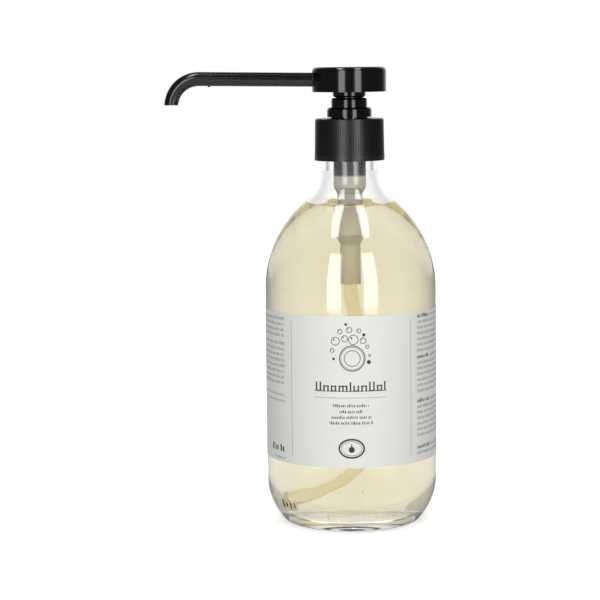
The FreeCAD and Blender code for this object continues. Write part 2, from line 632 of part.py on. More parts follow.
def make_rod():
    """Hollow rod, plugged into the stem, with a flange under the piston seal."""
    body = new_body("piston_rod")
    revolve(body, "wall", [
        ("rod_bore", "rod_bottom"),
        ("rod_flange", "rod_bottom"),
        ("rod_flange", "piston_bottom"),
        ("stem_bore - fit_gap", "piston_bottom"),
        ("stem_bore - fit_gap", "piston_top + fit_gap"),
        ("stem_radius - run_gap", "piston_top + fit_gap"),
        ("stem_radius - run_gap", "stem_bottom"),
        ("stem_bore - fit_gap", "stem_bottom"),
        ("stem_bore - fit_gap", "rod_top"),
        ("rod_bore", "rod_top"),
    ])
    return body


def make_piston():
    """Soft seal with two lips that runs in the chamber."""
    body = new_body("piston_seal")
    edge = "chamber_bore - run_gap"
    hub = "stem_bore + run_gap + piston_hub"
    revolve(body, "ring", [
        ("stem_bore + run_gap", "piston_bottom"),
        (hub, "piston_bottom"),
        (hub, "piston_bottom + piston_lip_length - piston_lip"),
        (f"{edge} - piston_lip", "piston_bottom"),
        (edge, "piston_bottom"),
        (edge, "piston_bottom + piston_lip"),
        ("piston_waist", "piston_bottom + piston_lip_length + piston_lip"),
        ("piston_waist", "piston_top - piston_lip_length - piston_lip"),
        (edge, "piston_top - piston_lip"),
        (edge, "piston_top"),
        (f"{edge} - piston_lip", "piston_top"),
        (hub, "piston_top - piston_lip_length + piston_lip"),
        (hub, "piston_top"),
        ("stem_bore + run_gap", "piston_top"),
    ])
    return body


def make_spring():
    """Steel spring under the rod, drawn pressed together."""
    body = new_body("spring")
    sketch = new_sketch(body, "wire", "XZ_Plane")
    draw_circle(sketch, "spring_radius", "spring_bottom + spring_wire / 2", "spring_wire / 2")
    coil = body.newObject("PartDesign::AdditiveHelix", "spring_coil")
    coil.Profile = sketch
    coil.ReferenceAxis = (sketch, ["V_Axis"])
    coil.Mode = "pitch-turns-angle"
    bind(coil, Pitch="spring_pitch", Turns="spring_turns")
    body.Tip = coil
    return body


def make_ball(label, radius, height):
    """Check ball, resting on its seat."""
    ball = doc.addObject("Part::Sphere", label)
    ball.Label = label
    bind(ball, Radius=radius)
    ball.setExpression(".Placement.Base.z", bound(height))
    return ball


def make_head():
    """Moulded head: open-bottomed disc with ribs, skirt, plug, stem socket and spout boss."""
    body = new_body("pump_head")
    plug = "collar_bore - plug_gap"
    socket_bottom = "stem_top - stem_socket"
    revolve(body, "shell", [
        ("0", "head_top"),
        ("0", socket_bottom),
        ("stem_radius + fit_gap", socket_bottom),
        ("plug_bore", f"{socket_bottom} - (plug_bore - stem_radius)"),
        ("plug_bore", "skirt_bottom - plug_length"),
        (plug, "skirt_bottom - plug_length"),
        (plug, "skirt_bottom"),
        ("skirt_radius - skirt_chamfer", "skirt_bottom"),
        ("skirt_radius", "skirt_bottom + skirt_chamfer"),
        ("skirt_radius", "head_ceiling"),
        ("head_radius - head_wall", "head_ceiling"),
        ("head_radius - head_wall", "head_bottom"),
        ("head_radius", "head_bottom"),
        ("head_radius", "head_top - head_round", "head_round", 1),
        ("head_radius - head_round", "head_top"),
    ])
    sketch = new_sketch(body, "rib", "XZ_Plane")
    draw_outline(sketch, [
        ("skirt_radius - skirt_chamfer", "head_bottom + head_rib_recess"),
        ("head_radius - head_wall / 2", "head_bottom + head_rib_recess"),
        ("head_radius - head_wall / 2", "head_top - head_top_wall / 2"),
        ("skirt_radius - skirt_chamfer", "head_top - head_top_wall / 2"),
    ])
    rib = extrude(body, "rib_pad", sketch, "head_rib", middle=True)
    repeat_round(body, "ribs", rib, "head_rib_count")
    boss = new_sketch(body, "boss", "YZ_Plane", lift={"y": "spout_axis"}, tilt="spout_rise")
    draw_circle(boss, "0", "0", "spout_radius + fit_gap + spout_boss_wall")
    extrude(body, "boss_pad", boss, "head_radius - head_wall / 2", back=True)
    passage = new_sketch(body, "passage", "YZ_Plane", lift={"y": "spout_axis"}, tilt="spout_rise")
    draw_circle(passage, "0", "0", "spout_bore")
    extrude(body, "passage_cut", passage, "head_radius", cut=True)
    socket = new_sketch(body, "socket", "YZ_Plane",
                        lift={"y": "spout_axis + spout_start * sin(spout_rise)",
                              "z": "-spout_start * cos(spout_rise)"}, tilt="spout_rise")
    draw_circle(socket, "0", "0", "spout_radius + fit_gap")
    extrude(body, "socket_cut", socket, "head_radius", cut=True)
    revolve(body, "stem_socket_cut", [
        ("0", "spout_axis"),
        ("0", socket_bottom),
        ("stem_radius + fit_gap", socket_bottom),
        ("stem_radius + fit_gap", "stem_top"),
        ("stem_passage", "stem_top"),
        ("stem_passage", "spout_axis"),
    ], cut=True)
    return body


def make_spout():
    """Tube that is pushed into the head and bends down at its end."""
    body = new_body("spout_tube")
    path = new_sketch(body, "path", "XZ_Plane")
    draw_outline(path, [
        ("-spout_start * cos(spout_rise)", "spout_axis + spout_start * sin(spout_rise)"),
        ("spout_arc_x + spout_bend * sin(spout_rise)",
         "spout_arc_z + spout_bend * cos(spout_rise)", "spout_bend", 1),
        ("-spout_reach", "spout_arc_z"),
    ], closed=False)
    ring = new_sketch(body, "ring", "YZ_Plane",
                      lift={"y": "spout_axis + spout_start * sin(spout_rise)",
                            "z": "-spout_start * cos(spout_rise)"}, tilt="spout_rise")
    draw_circle(ring, "0", "0", "spout_radius")
    draw_circle(ring, "0", "0", "spout_bore")
    sweep(body, "tube", path, ring)
    trim = new_sketch(body, "trim", "XZ_Plane")
    draw_outline(trim, [
        ("-spout_reach - 2 * spout_radius", "outlet_z"),
        ("-spout_reach - 2 * spout_radius", "spout_arc_z - spout_radius"),
        ("spout_arc_x", "spout_arc_z - spout_radius"),
        ("spout_arc_x", "outlet_z"),
    ])
    extrude(body, "trim_cut", trim, "4 * spout_radius", cut=True, middle=True)
    return body


def write_parts(parts):
    """Check every object and shape, then write one file for each sub-part."""
    doc.recompute()
    for thing in doc.Objects:
        if {"Invalid", "Error"} & set(thing.State):
            raise RuntimeError(f"{thing.Label} failed: {thing.State}")
    for part in parts:
        if part.Shape.isNull() or not part.Shape.isValid():
            raise RuntimeError(f"{part.Label} has no valid shape")
    os.makedirs("parts", exist_ok=True)
    for part in parts:
        part.Shape.exportStep(f"parts/{part.Label}.step")
        print(f"{part.Label}: {len(part.Shape.Solids)} solid, {part.Shape.Volume / 1000:.3f} ml")


fill_sheet()
write_parts([
    make_bottle(),
    make_liquid(),
    make_label(),
    make_cap(),
    make_gasket(),
    make_housing(),
    make_dip_tube(),
    make_ball("inlet_ball", "inlet_ball_radius", "inlet_ball_z"),
    make_collar(),
    make_spring(),
    make_piston(),
    make_rod(),
    make_stem(),
    make_ball("outlet_ball", "outlet_ball_radius", "outlet_ball_z"),
    make_head(),
    make_spout(),
])
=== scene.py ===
"""Soap bottle: clear glass, pale soap, a printed paper label and a black lotion pump.

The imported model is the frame. New pieces stand for the glass, the soap and the label, and the
pump keeps its solids and gets its finishes here. Lengths are in metres.
"""
import math
import random

import bpy
from mathutils import Matrix, Vector


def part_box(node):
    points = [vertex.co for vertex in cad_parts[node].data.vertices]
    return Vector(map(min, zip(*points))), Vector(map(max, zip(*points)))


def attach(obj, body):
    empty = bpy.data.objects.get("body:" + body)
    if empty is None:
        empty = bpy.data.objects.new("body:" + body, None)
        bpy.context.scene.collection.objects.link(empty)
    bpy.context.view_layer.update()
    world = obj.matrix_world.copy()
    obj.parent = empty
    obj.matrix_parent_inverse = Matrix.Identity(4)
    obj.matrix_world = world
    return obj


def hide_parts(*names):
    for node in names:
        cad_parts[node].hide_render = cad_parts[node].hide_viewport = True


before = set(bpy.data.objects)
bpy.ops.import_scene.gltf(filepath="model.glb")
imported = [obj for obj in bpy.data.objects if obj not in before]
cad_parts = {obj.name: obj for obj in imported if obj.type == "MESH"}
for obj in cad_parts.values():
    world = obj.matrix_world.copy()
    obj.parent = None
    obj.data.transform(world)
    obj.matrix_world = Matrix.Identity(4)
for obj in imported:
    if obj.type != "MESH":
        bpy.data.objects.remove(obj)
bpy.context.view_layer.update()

bl_info = {
    "name": "Soap bottle",
    "version": (1, 0, 0),
    "blender": (4, 5, 0),
    "location": "View3D > Sidebar > Soap Bottle",
    "description": "Builds the finished surfaces of a pump soap bottle over its solid frame",
    "category": "Object",
}

_, GLASS_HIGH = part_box("glass_bottle")
LABEL_LOW, LABEL_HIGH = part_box("paper_label")
_, SOAP_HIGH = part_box("liquid_soap")
CHAMBER_LOW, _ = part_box("pump_housing")
INK_HEIGHT = 0.000015
INK_SHEET = 0.00003
ROUND_STEPS = 192
QUARTER = math.pi / 2
TURN = 2 * math.pi
SMOOTH_ANGLE = math.radians(35)
THREAD_ANGLE = math.radians(25)

# Bars on the heel: degrees round the bottle, height and length
MOULD_MARKS = (
    (-56, 0.0112, 0.0042), (-52, 0.0112, 0.0026), (-48, 0.0112, 0.0042), (-44, 0.0112, 0.0026),
    (-18, 0.0078, 0.0036), (-14, 0.0078, 0.0036), (0, 0.0078, 0.0040), (4, 0.0078, 0.0028),
    (8, 0.0078, 0.0040), (-8, 0.0190, 0.0016), (7, 0.0190, 0.0016), (18, 0.0190, 0.0016))
MARK_WIDTH = 0.0010
MARK_DEPTH = 0.0012
MARK_ROUND = 0.00046
MARK_SINK = 0.00025

# Print on the label: places and sizes on the flat sheet
BUBBLES = (
    (-0.0068, 0.0860, 0.0019), (-0.0028, 0.0871, 0.0015), (0.0010, 0.0866, 0.0022),
    (0.0052, 0.0862, 0.0014), (-0.0048, 0.0902, 0.0011), (-0.0008, 0.0909, 0.0013),
    (0.0034, 0.0905, 0.0010), (0.0071, 0.0835, 0.0009), (-0.0082, 0.0820, 0.0010),
    (0.0081, 0.0796, 0.0006))
DARK_BUBBLES = ((-0.0022, 0.0933, 0.0006), (0.0056, 0.0887, 0.0007), (-0.0076, 0.0783, 0.0006),
                (0.0077, 0.0768, 0.0009))
TITLE_BASE = 0.0640
TITLE_HEIGHT = 0.0027
TITLE_KINDS = {
    "box": (2, 0.0024, 0.0027, True, True),
    "arch": (2, 0.0025, 0.0027, True, False),
    "cup": (2, 0.0025, 0.0027, False, True),
    "comb": (3, 0.0039, 0.0027, True, False),
    "post": (1, 0.0006, 0.0042, False, False),
    "flag": (2, 0.0025, 0.0042, False, True)}
TITLE_SHAPES = ("flag", "arch", "box", "comb", "post", "cup", "arch", "flag", "box", "post")
TITLE_START = -0.0158
TITLE_SPACE = 0.00095
TITLE_STEM = 0.00068
TITLE_SERIF = 0.00032
PICTURE_LINE = 0.00030
PLATE_PLACE = (0.0005, 0.0785)
BADGE_PLACE = (0, 0.0390)
DROP_RADIUS = 0.0013
DROP_TIP = 0.0015
RIGHT_START = 0.0328
LEFT_END = -0.0333
ROW_STEP = 0.0025
ROW_HEIGHT = 0.00100
HEAD_INDENT = 0.0105

# Stage
FLOOR_SIZE = 5.6
FLOOR_SIDES = 0.3
FLOOR_NEAR = (0.35, 0.8)
FLOOR_FAR = (0.1, 0.8)
FLOOR_GLOW = (0.6, 0.92)
# Painted caustic light: a pool of light painted into the floor's glow round the bottle's foot, met
# only by rays through the glass
PAINTED_CAUSTIC_REACH = (0.036, 0.06)
PAINTED_CAUSTIC_GLOW = 0.5
WHITE_BEHIND = (0.62, 0.97)
CAMERA_PLACE = Vector((0, -0.9, 0.20858))
CAMERA_PITCH = math.radians(6.912)
CAMERA_YAW = math.radians(1.445)
CAMERA_ROLL = math.radians(0.6)
CAMERA_LENS = 121.35
STRIP_TURNS = (("left", math.radians(-22.5)), ("right", math.radians(27.3)))
STRIP_DISTANCE = 0.9
STRIP_WIDTH = 0.30
STRIP_LOW = 0.0
STRIP_HIGH = 0.78
TOP_PLACE = Vector((0.355, -0.285, 1.25))
TOP_TURN = math.radians(16.8)
TOP_LENGTH = 0.87
TOP_WIDTH = 0.22
GLASS_PASSES = 32


class BottleSizes(bpy.types.PropertyGroup):
    """Sizes of the glass and of what it holds."""
    wall: bpy.props.FloatProperty(
        name="Wall", description="Thickness of the straight wall", default=0.0024,
        unit="LENGTH", precision=5)
    heel_centre: bpy.props.FloatProperty(
        name="Heel centre", description="Distance of the heel's arc centre from the axis",
        default=0.010, unit="LENGTH", precision=5)
    heel_height: bpy.props.FloatProperty(
        name="Heel height", description="Height at which the heel meets the wall",
        default=0.020, unit="LENGTH", precision=5)
    foot_round: bpy.props.FloatProperty(
        name="Foot round", description="Round between the heel and the foot ring",
        default=0.003, unit="LENGTH", precision=5)
    foot_width: bpy.props.FloatProperty(
        name="Foot width", description="Width of the ring that the bottle stands on",
        default=0.0018, unit="LENGTH", precision=5)
    push_up: bpy.props.FloatProperty(
        name="Push-up", description="Rise of the base at its centre", default=0.0028,
        unit="LENGTH", precision=5)
    floor_thickness: bpy.props.FloatProperty(
        name="Floor", description="Thickness of the glass at the centre of the base",
        default=0.0042, unit="LENGTH", precision=5)
    inner_heel: bpy.props.FloatProperty(
        name="Inner heel", description="Inside radius of the heel", default=0.017,
        unit="LENGTH", precision=5)
    inner_heel_floor: bpy.props.FloatProperty(
        name="Inner floor", description="Height of the inside floor where the heel ends",
        default=0.0046, unit="LENGTH", precision=5)
    shoulder_arc: bpy.props.FloatProperty(
        name="Shoulder", description="Outside radius of the shoulder's curve", default=0.0508,
        unit="LENGTH", precision=5)
    neck_arc: bpy.props.FloatProperty(
        name="Neck curve", description="Outside radius of the curve into the neck",
        default=0.0146, unit="LENGTH", precision=5)
    neck_radius: bpy.props.FloatProperty(
        name="Neck", description="Outside radius of the neck", default=0.01255,
        unit="LENGTH", precision=5)
    neck_length: bpy.props.FloatProperty(
        name="Neck length", description="Straight length of the neck", default=0.020,
        unit="LENGTH", precision=5)
    mouth_radius: bpy.props.FloatProperty(
        name="Mouth", description="Radius of the mouth", default=0.0095, unit="LENGTH",
        precision=5)
    lip_round: bpy.props.FloatProperty(
        name="Lip", description="Round of the lip", default=0.0008, unit="LENGTH", precision=5)
    meniscus: bpy.props.FloatProperty(
        name="Meniscus", description="Rise of the soap where it meets the glass",
        default=0.0012, unit="LENGTH", precision=5)
    soap_overlap: bpy.props.FloatProperty(
        name="Soap overlap", description="How far the soap reaches into what it wets",
        default=0.0001, unit="LENGTH", precision=5)


class PumpSizes(bpy.types.PropertyGroup):
    """Outside sizes of the pump where the soap meets it."""
    socket_radius: bpy.props.FloatProperty(
        name="Socket", description="Outside radius of the dip tube's socket", default=0.00345,
        unit="LENGTH", precision=5)
    chamber_radius: bpy.props.FloatProperty(
        name="Chamber", description="Outside radius of the chamber", default=0.0056,
        unit="LENGTH", precision=5)
    chamber_floor: bpy.props.FloatProperty(
        name="Chamber floor", description="Height of the chamber's lower end", default=0.1256,
        unit="LENGTH", precision=5)
    chamber_cone: bpy.props.FloatProperty(
        name="Chamber cone", description="Height of the cone under the chamber",
        default=0.0042, unit="LENGTH", precision=5)
    sleeve_end: bpy.props.FloatProperty(
        name="Sleeve end", description="Height of the dark sleeve's lower end", default=0.155,
        unit="LENGTH", precision=5)


class ThreadSizes(bpy.types.PropertyGroup):
    """Sizes of the thread between the neck and the cap."""
    pitch: bpy.props.FloatProperty(
        name="Pitch", description="Rise of one turn", default=0.004233, unit="LENGTH", precision=6)
    turns: bpy.props.FloatProperty(
        name="Turns", description="Number of turns", default=1.5)
    start: bpy.props.FloatProperty(
        name="Start", description="Height at which the neck's thread starts", default=0.1690,
        unit="LENGTH", precision=5)
    offset: bpy.props.FloatProperty(
        name="Offset", description="How far the cap's thread runs under the neck's",
        default=0.0018, unit="LENGTH", precision=5)
    neck_root: bpy.props.FloatProperty(
        name="Neck root", description="Radius in the glass from which the thread rises",
        default=0.01245, unit="LENGTH", precision=5)
    neck_crest: bpy.props.FloatProperty(
        name="Neck crest", description="Outside radius of the neck's thread", default=0.0137,
        unit="LENGTH", precision=5)
    cap_root: bpy.props.FloatProperty(
        name="Cap root", description="Radius in the cap from which the thread rises",
        default=0.01405, unit="LENGTH", precision=5)
    cap_crest: bpy.props.FloatProperty(
        name="Cap crest", description="Inside radius of the cap's thread", default=0.01285,
        unit="LENGTH", precision=5)
    ridge_root: bpy.props.FloatProperty(
        name="Ridge root", description="Height of the ridge at its root", default=0.0017,
        unit="LENGTH", precision=5)
    ridge_crest: bpy.props.FloatProperty(
        name="Ridge crest", description="Height of the ridge at its crest", default=0.0008,
        unit="LENGTH", precision=5)


class Finishes(bpy.types.PropertyGroup):
    """Colours of the finishes."""
    glass: bpy.props.FloatVectorProperty(
        name="Glass", description="Tint of the clear glass", default=(0.995, 1.0, 0.99),
        size=3, subtype="COLOR", min=0, max=1)
    soap: bpy.props.FloatVectorProperty(
        name="Soap", description="Light that the soap lets through", default=(0.69, 0.61, 0.26),
        size=3, subtype="COLOR", min=0, max=1)
    paper: bpy.props.FloatVectorProperty(
        name="Paper", description="Colour of the label's paper", default=(0.80, 0.805, 0.775),
        size=3, subtype="COLOR", min=0, max=1)
    ink: bpy.props.FloatVectorProperty(
        name="Ink", description="Colour of the dark print", default=(0.04, 0.04, 0.038),
        size=3, subtype="COLOR", min=0, max=1)
    rule_ink: bpy.props.FloatVectorProperty(
        name="Rule ink", description="Colour of the ink of the thin rules",
        default=(0.13, 0.13, 0.127), size=3, subtype="COLOR", min=0, max=1)
    pale_ink: bpy.props.FloatVectorProperty(
        name="Pale ink", description="Colour of the fine print", default=(0.40, 0.40, 0.39),
        size=3, subtype="COLOR", min=0, max=1)
    black: bpy.props.FloatVectorProperty(
        name="Black", description="Colour of the glossy black plastic",
        default=(0.0022, 0.0025, 0.002), size=3, subtype="COLOR", min=0, max=1)
    satin_black: bpy.props.FloatVectorProperty(
        name="Satin black", description="Colour of the satin black plastic",
        default=(0.0035, 0.0036, 0.0032), size=3, subtype="COLOR", min=0, max=1)
    natural: bpy.props.FloatVectorProperty(
        name="Natural plastic", description="Colour of the see-through plastic",
        default=(0.97, 0.91, 0.78), size=3, subtype="COLOR", min=0, max=1)
    dry_tone: bpy.props.FloatVectorProperty(
        name="Dry tone", description="Colour of the housing above the soap",
        default=(0.62, 0.60, 0.49), size=3, subtype="COLOR", min=0, max=1)
    sleeve_tone: bpy.props.FloatVectorProperty(
        name="Sleeve tone", description="Colour of the housing where the dark sleeve shows through",
        default=(0.035, 0.04, 0.036), size=3, subtype="COLOR", min=0, max=1)
    tube: bpy.props.FloatVectorProperty(
        name="Tube", description="Colour of the dip tube", default=(0.93, 0.90, 0.78),
        size=3, subtype="COLOR", min=0, max=1)
    steel: bpy.props.FloatVectorProperty(
        name="Steel", description="Colour of the spring and the balls",
        default=(0.62, 0.62, 0.63), size=3, subtype="COLOR", min=0, max=1)
    foam: bpy.props.FloatVectorProperty(
        name="Foam", description="Colour of the gasket", default=(0.8, 0.8, 0.78),
        size=3, subtype="COLOR", min=0, max=1)
    table: bpy.props.FloatVectorProperty(
        name="Table", description="Colour of the floor", default=(0.86, 0.86, 0.86),
        size=3, subtype="COLOR", min=0, max=1)


class StudioLight(bpy.types.PropertyGroup):
    """Levels of the studio's light."""
    strip_power: bpy.props.FloatProperty(
        name="Strip power", description="Power of one tall strip light", default=3.0,
        unit="POWER")
    top_power: bpy.props.FloatProperty(
        name="Top power", description="Power of one overhead strip light", default=4.2,
        unit="POWER")
    backdrop: bpy.props.FloatProperty(
        name="Backdrop", description="Brightness of the white behind the bottle", default=1.0)
    room: bpy.props.FloatProperty(
        name="Room", description="Brightness of the dim room before the bottle", default=0.09)
    held_light: bpy.props.FloatProperty(
        name="Held light", description="Brightness of the room that lights what the glass holds",
        default=1.0)
    glass_room: bpy.props.FloatProperty(
        name="Room in glass", description="Brightness of the room where glass bends it into view",
        default=0.82)


# Helpers for meshes

def deselect():
    """Leave edit mode and clear the selection."""
    if bpy.context.mode != "OBJECT":
        bpy.ops.object.mode_set(mode="OBJECT")
    bpy.ops.object.select_all(action="DESELECT")


def name_piece(name):
    """Name the active object and its mesh, and put its place into the mesh."""
    piece = bpy.context.active_object
    piece.name = name
    piece.data.name = name
    bpy.ops.object.transform_apply(location=True, rotation=True, scale=True)
    return piece


def arc(centre, radius, start, end, steps):
    """Give the points of an arc in the (radius, height) plane, angles in radians."""
    angles = [start + (end - start) * i / steps for i in range(steps + 1)]
    return [(centre[0] + radius * math.cos(a), centre[1] + radius * math.sin(a)) for a in angles]


def turned(name, outline, steps=ROUND_STEPS):
    """Extrude a point along an outline of (radius, height) places and spin it about the axis."""
    deselect()
    bpy.ops.mesh.primitive_plane_add(size=0.001, location=(0, 0, 0))
    bpy.ops.object.mode_set(mode="EDIT")
    bpy.ops.mesh.merge(type="CENTER")
    bpy.ops.transform.translate(value=(outline[0][0], 0, outline[0][1]))
    for last, place in zip(outline, outline[1:]):
        move = (place[0] - last[0], 0, place[1] - last[1])
        bpy.ops.mesh.extrude_region_move(TRANSFORM_OT_translate={"value": move})
    bpy.ops.mesh.select_all(action="SELECT")
    bpy.ops.mesh.spin(steps=steps, angle=TURN, center=(0, 0, 0), axis=(0, 0, 1))
    bpy.ops.mesh.select_all(action="SELECT")
    bpy.ops.mesh.remove_doubles(threshold=0.000005)
    bpy.ops.mesh.normals_make_consistent(inside=False)
    bpy.ops.object.mode_set(mode="OBJECT")
    bpy.ops.object.shade_smooth_by_angle(angle=SMOOTH_ANGLE)
    return name_piece(name)


def apply_modifiers(piece):
    """Apply every modifier of a piece."""
    deselect()
    piece.select_set(True)
    bpy.context.view_layer.objects.active = piece
    for modifier in list(piece.modifiers):
        bpy.ops.object.modifier_apply(modifier=modifier.name)


def flat_patch(x, z, width, height, columns=1, rows=1, depth=0.0):
    """Add a flat patch, facing the front, to the mesh in edit mode."""
    bpy.ops.mesh.primitive_grid_add(x_subdivisions=columns, y_subdivisions=rows, size=1,
                                    location=(x, -depth, z), rotation=(QUARTER, 0, 0))
    bpy.ops.transform.resize(value=(width, 1, height), center_override=(x, -depth, z))


def select_places(piece, wanted):
    """Enter edit mode with only the vertices selected whose places are wanted."""
    deselect()
    piece.select_set(True)
    bpy.context.view_layer.objects.active = piece
    bpy.ops.object.mode_set(mode="EDIT")
    bpy.ops.mesh.select_mode(type="VERT")
    bpy.ops.mesh.select_all(action="DESELECT")
    bpy.ops.object.mode_set(mode="OBJECT")
    for vertex in piece.data.vertices:
        vertex.select = wanted(vertex.co)
    bpy.ops.object.mode_set(mode="EDIT")


def start_flat(name):
    """Start an empty mesh at the origin and enter edit mode."""
    deselect()
    bpy.ops.mesh.primitive_plane_add(size=0.001, location=(0, 0, 0))
    bpy.context.active_object.name = name
    bpy.context.active_object.data.name = name
    bpy.ops.object.mode_set(mode="EDIT")
    bpy.ops.mesh.delete(type="VERT")


def flat_ring(x, z, radius, line, height=1.0):
    """Add a flat ring of a line's width; height squashes it."""
    inside = 1 - line / radius
    bpy.ops.mesh.primitive_circle_add(vertices=40, radius=radius, location=(x, 0, z),
                                      rotation=(QUARTER, 0, 0))
    bpy.ops.transform.resize(value=(1, 1, height), center_override=(x, 0, z))
    bpy.ops.mesh.extrude_edges_move()
    bpy.ops.transform.resize(value=(inside, 1, 1 - line / (radius * height)),
                             center_override=(x, 0, z))


def flat_disc(x, z, radius, height=1.0):
    """Add a flat filled disc; height squashes it."""
    bpy.ops.mesh.primitive_circle_add(vertices=24, radius=radius, fill_type="NGON",
                                      location=(x, 0, z), rotation=(QUARTER, 0, 0))
    bpy.ops.transform.resize(value=(1, 1, height), center_override=(x, 0, z))


def letter_row(shuffle, left, right, z, height):
    """Lay a row of letter-like bars, which spell nothing, between two places."""
    place = left
    letters = shuffle.randint(3, 8)
    while place < right - 0.3 * height:
        width = min(height * shuffle.choice((0.3, 0.5, 0.65)), right - place)
        tall = height * shuffle.choice((1.0, 1.0, 1.4))
        flat_patch(place + width / 2, z + tall / 2, width, tall)
        place += width + 0.32 * height
        letters -= 1
        if letters == 0:
            place += 0.5 * height
            letters = shuffle.randint(3, 8)


def wrap_sheet(piece, radius, thickness):
    """Turn a flat sheet's faces to the front, thicken it inwards and wrap it."""
    deselect()
    piece.select_set(True)
    bpy.context.view_layer.objects.active = piece
    bpy.ops.object.mode_set(mode="EDIT")
    bpy.ops.mesh.select_mode(type="FACE")
    bpy.ops.mesh.select_all(action="DESELECT")
    bpy.ops.object.mode_set(mode="OBJECT")
    for face in piece.data.polygons:
        face.select = face.normal.y > 0
    bpy.ops.object.mode_set(mode="EDIT")
    bpy.ops.mesh.flip_normals()
    bpy.ops.object.mode_set(mode="OBJECT")
    sheet = piece.modifiers.new("sheet", "SOLIDIFY")
    sheet.thickness = thickness
    sheet.offset = -1
    wrap(piece, radius)


def copy_down(piece, drop):
    """Copy a piece with its own mesh, moved down."""
    deselect()
    piece.select_set(True)
    bpy.context.view_layer.objects.active = piece
    bpy.ops.object.duplicate(linked=False)
    bpy.ops.transform.translate(value=(0, 0, -drop))
    bpy.ops.object.transform_apply(location=True, rotation=False, scale=False)
    return bpy.context.active_object


def join(pieces, name):
    """Join pieces into one."""
    deselect()
    for piece in pieces:
        piece.select_set(True)
    bpy.context.view_layer.objects.active = pieces[0]
    bpy.ops.object.join()
    return name_piece(name)


def wrap(piece, radius):
    """Bend a flat sheet, drawn in the XZ plane, round the axis at a radius."""
    places = [vertex.co.x for vertex in piece.data.vertices]
    bend = piece.modifiers.new("wrap", "SIMPLE_DEFORM")
    bend.deform_method = "BEND"
    bend.deform_axis = "Z"
    bend.angle = (max(places) - min(places)) / radius
    apply_modifiers(piece)
    bpy.ops.object.mode_set(mode="EDIT")
    bpy.ops.mesh.select_all(action="SELECT")
    bpy.ops.transform.translate(value=(0, -radius, 0))
    bpy.ops.object.mode_set(mode="OBJECT")


# Helpers for materials

def add_node(tree, kind, values=None, **settings):
    """Add a node with its settings and its unlinked input values."""
    node = tree.nodes.new(kind)
    for key, value in settings.items():
        setattr(node, key, value)
    for key, value in (values or {}).items():
        node.inputs[key].default_value = value
    return node


def add_math(tree, operation, first, second):
    """Add a math node on two nodes' outputs and give its own."""
    node = add_node(tree, "ShaderNodeMath", operation=operation)
    tree.links.new(first, node.inputs[0])
    tree.links.new(second, node.inputs[1])
    return node.outputs[0]


def add_ramp(tree, value, start, end, low, high):
    """Map an output from one range to another, held at the ends, and give the result."""
    node = add_node(tree, "ShaderNodeMapRange", {
        "From Min": start, "From Max": end, "To Min": low, "To Max": high})
    tree.links.new(value, node.inputs["Value"])
    return node.outputs["Result"]


def start_group(name, inputs, outputs):
    """Make a shader node group with named sockets; an input's value gives its kind."""
    group = bpy.data.node_groups.new(name, "ShaderNodeTree")
    for label, value in inputs.items():
        kind = "NodeSocketFloat" if isinstance(value, float) else "NodeSocketColor"
        socket = group.interface.new_socket(name=label, in_out="INPUT", socket_type=kind)
        socket.default_value = value
    for label, kind in outputs.items():
        group.interface.new_socket(name=label, in_out="OUTPUT", socket_type=kind)
    return group, group.nodes.new("NodeGroupInput"), group.nodes.new("NodeGroupOutput")


def surface_variation():
    """Group: tone, roughness and height that change over a surface at two scales."""
    if "Surface variation" in bpy.data.node_groups:
        return bpy.data.node_groups["Surface variation"]
    group, given, made = start_group(
        "Surface variation",
        {"Color": (0.5, 0.5, 0.5, 1.0), "Roughness": 0.3, "Patch Scale": 60.0,
         "Grain Scale": 3000.0, "Tone": 0.05, "Roughness Change": 0.1},
        {"Color": "NodeSocketColor", "Roughness": "NodeSocketFloat",
         "Patches": "NodeSocketFloat", "Grain": "NodeSocketFloat"})
    link = group.links.new
    place = add_node(group, "ShaderNodeTexCoord")
    patches = add_node(group, "ShaderNodeTexNoise", {"Detail": 3.0})
    grain = add_node(group, "ShaderNodeTexNoise", {"Detail": 2.0})
    for noise, scale in ((patches, "Patch Scale"), (grain, "Grain Scale")):
        link(place.outputs["Object"], noise.inputs["Vector"])
        link(given.outputs[scale], noise.inputs["Scale"])
    centred = add_node(group, "ShaderNodeMath", {1: 0.5}, operation="SUBTRACT")
    link(patches.outputs["Fac"], centred.inputs[0])
    tone = add_node(group, "ShaderNodeMath", {2: 1.0}, operation="MULTIPLY_ADD")
    link(centred.outputs[0], tone.inputs[0])
    link(given.outputs["Tone"], tone.inputs[1])
    colour = add_node(group, "ShaderNodeVectorMath", operation="SCALE")
    link(given.outputs["Color"], colour.inputs[0])
    link(tone.outputs[0], colour.inputs["Scale"])
    rough = add_node(group, "ShaderNodeMath", operation="MULTIPLY_ADD", use_clamp=True)
    link(centred.outputs[0], rough.inputs[0])
    link(given.outputs["Roughness Change"], rough.inputs[1])
    link(given.outputs["Roughness"], rough.inputs[2])
    link(colour.outputs[0], made.inputs["Color"])
    link(rough.outputs[0], made.inputs["Roughness"])
    link(patches.outputs["Fac"], made.inputs["Patches"])
    link(grain.outputs["Fac"], made.inputs["Grain"])
    return group


def new_material(name, colour, variation, bump, source="Grain"):
    """Make a material on the variation group, and give it with its tree and its shader."""
    material = bpy.data.materials.new(name)
    material.use_nodes = True
    tree = material.node_tree
    shader = tree.nodes["Principled BSDF"]
    skin = add_node(tree, "ShaderNodeGroup", node_tree=surface_variation())
    skin.inputs["Color"].default_value = (*colour, 1)
    for label, value in variation.items():
        skin.inputs[label].default_value = value
    relief = add_node(tree, "ShaderNodeBump", {"Strength": bump[0], "Distance": bump[1]})
    tree.links.new(skin.outputs["Color"], shader.inputs["Base Color"])
    tree.links.new(skin.outputs["Roughness"], shader.inputs["Roughness"])
    tree.links.new(skin.outputs[source], relief.inputs["Height"])
    tree.links.new(relief.outputs["Normal"], shader.inputs["Normal"])
    return material, tree, shader


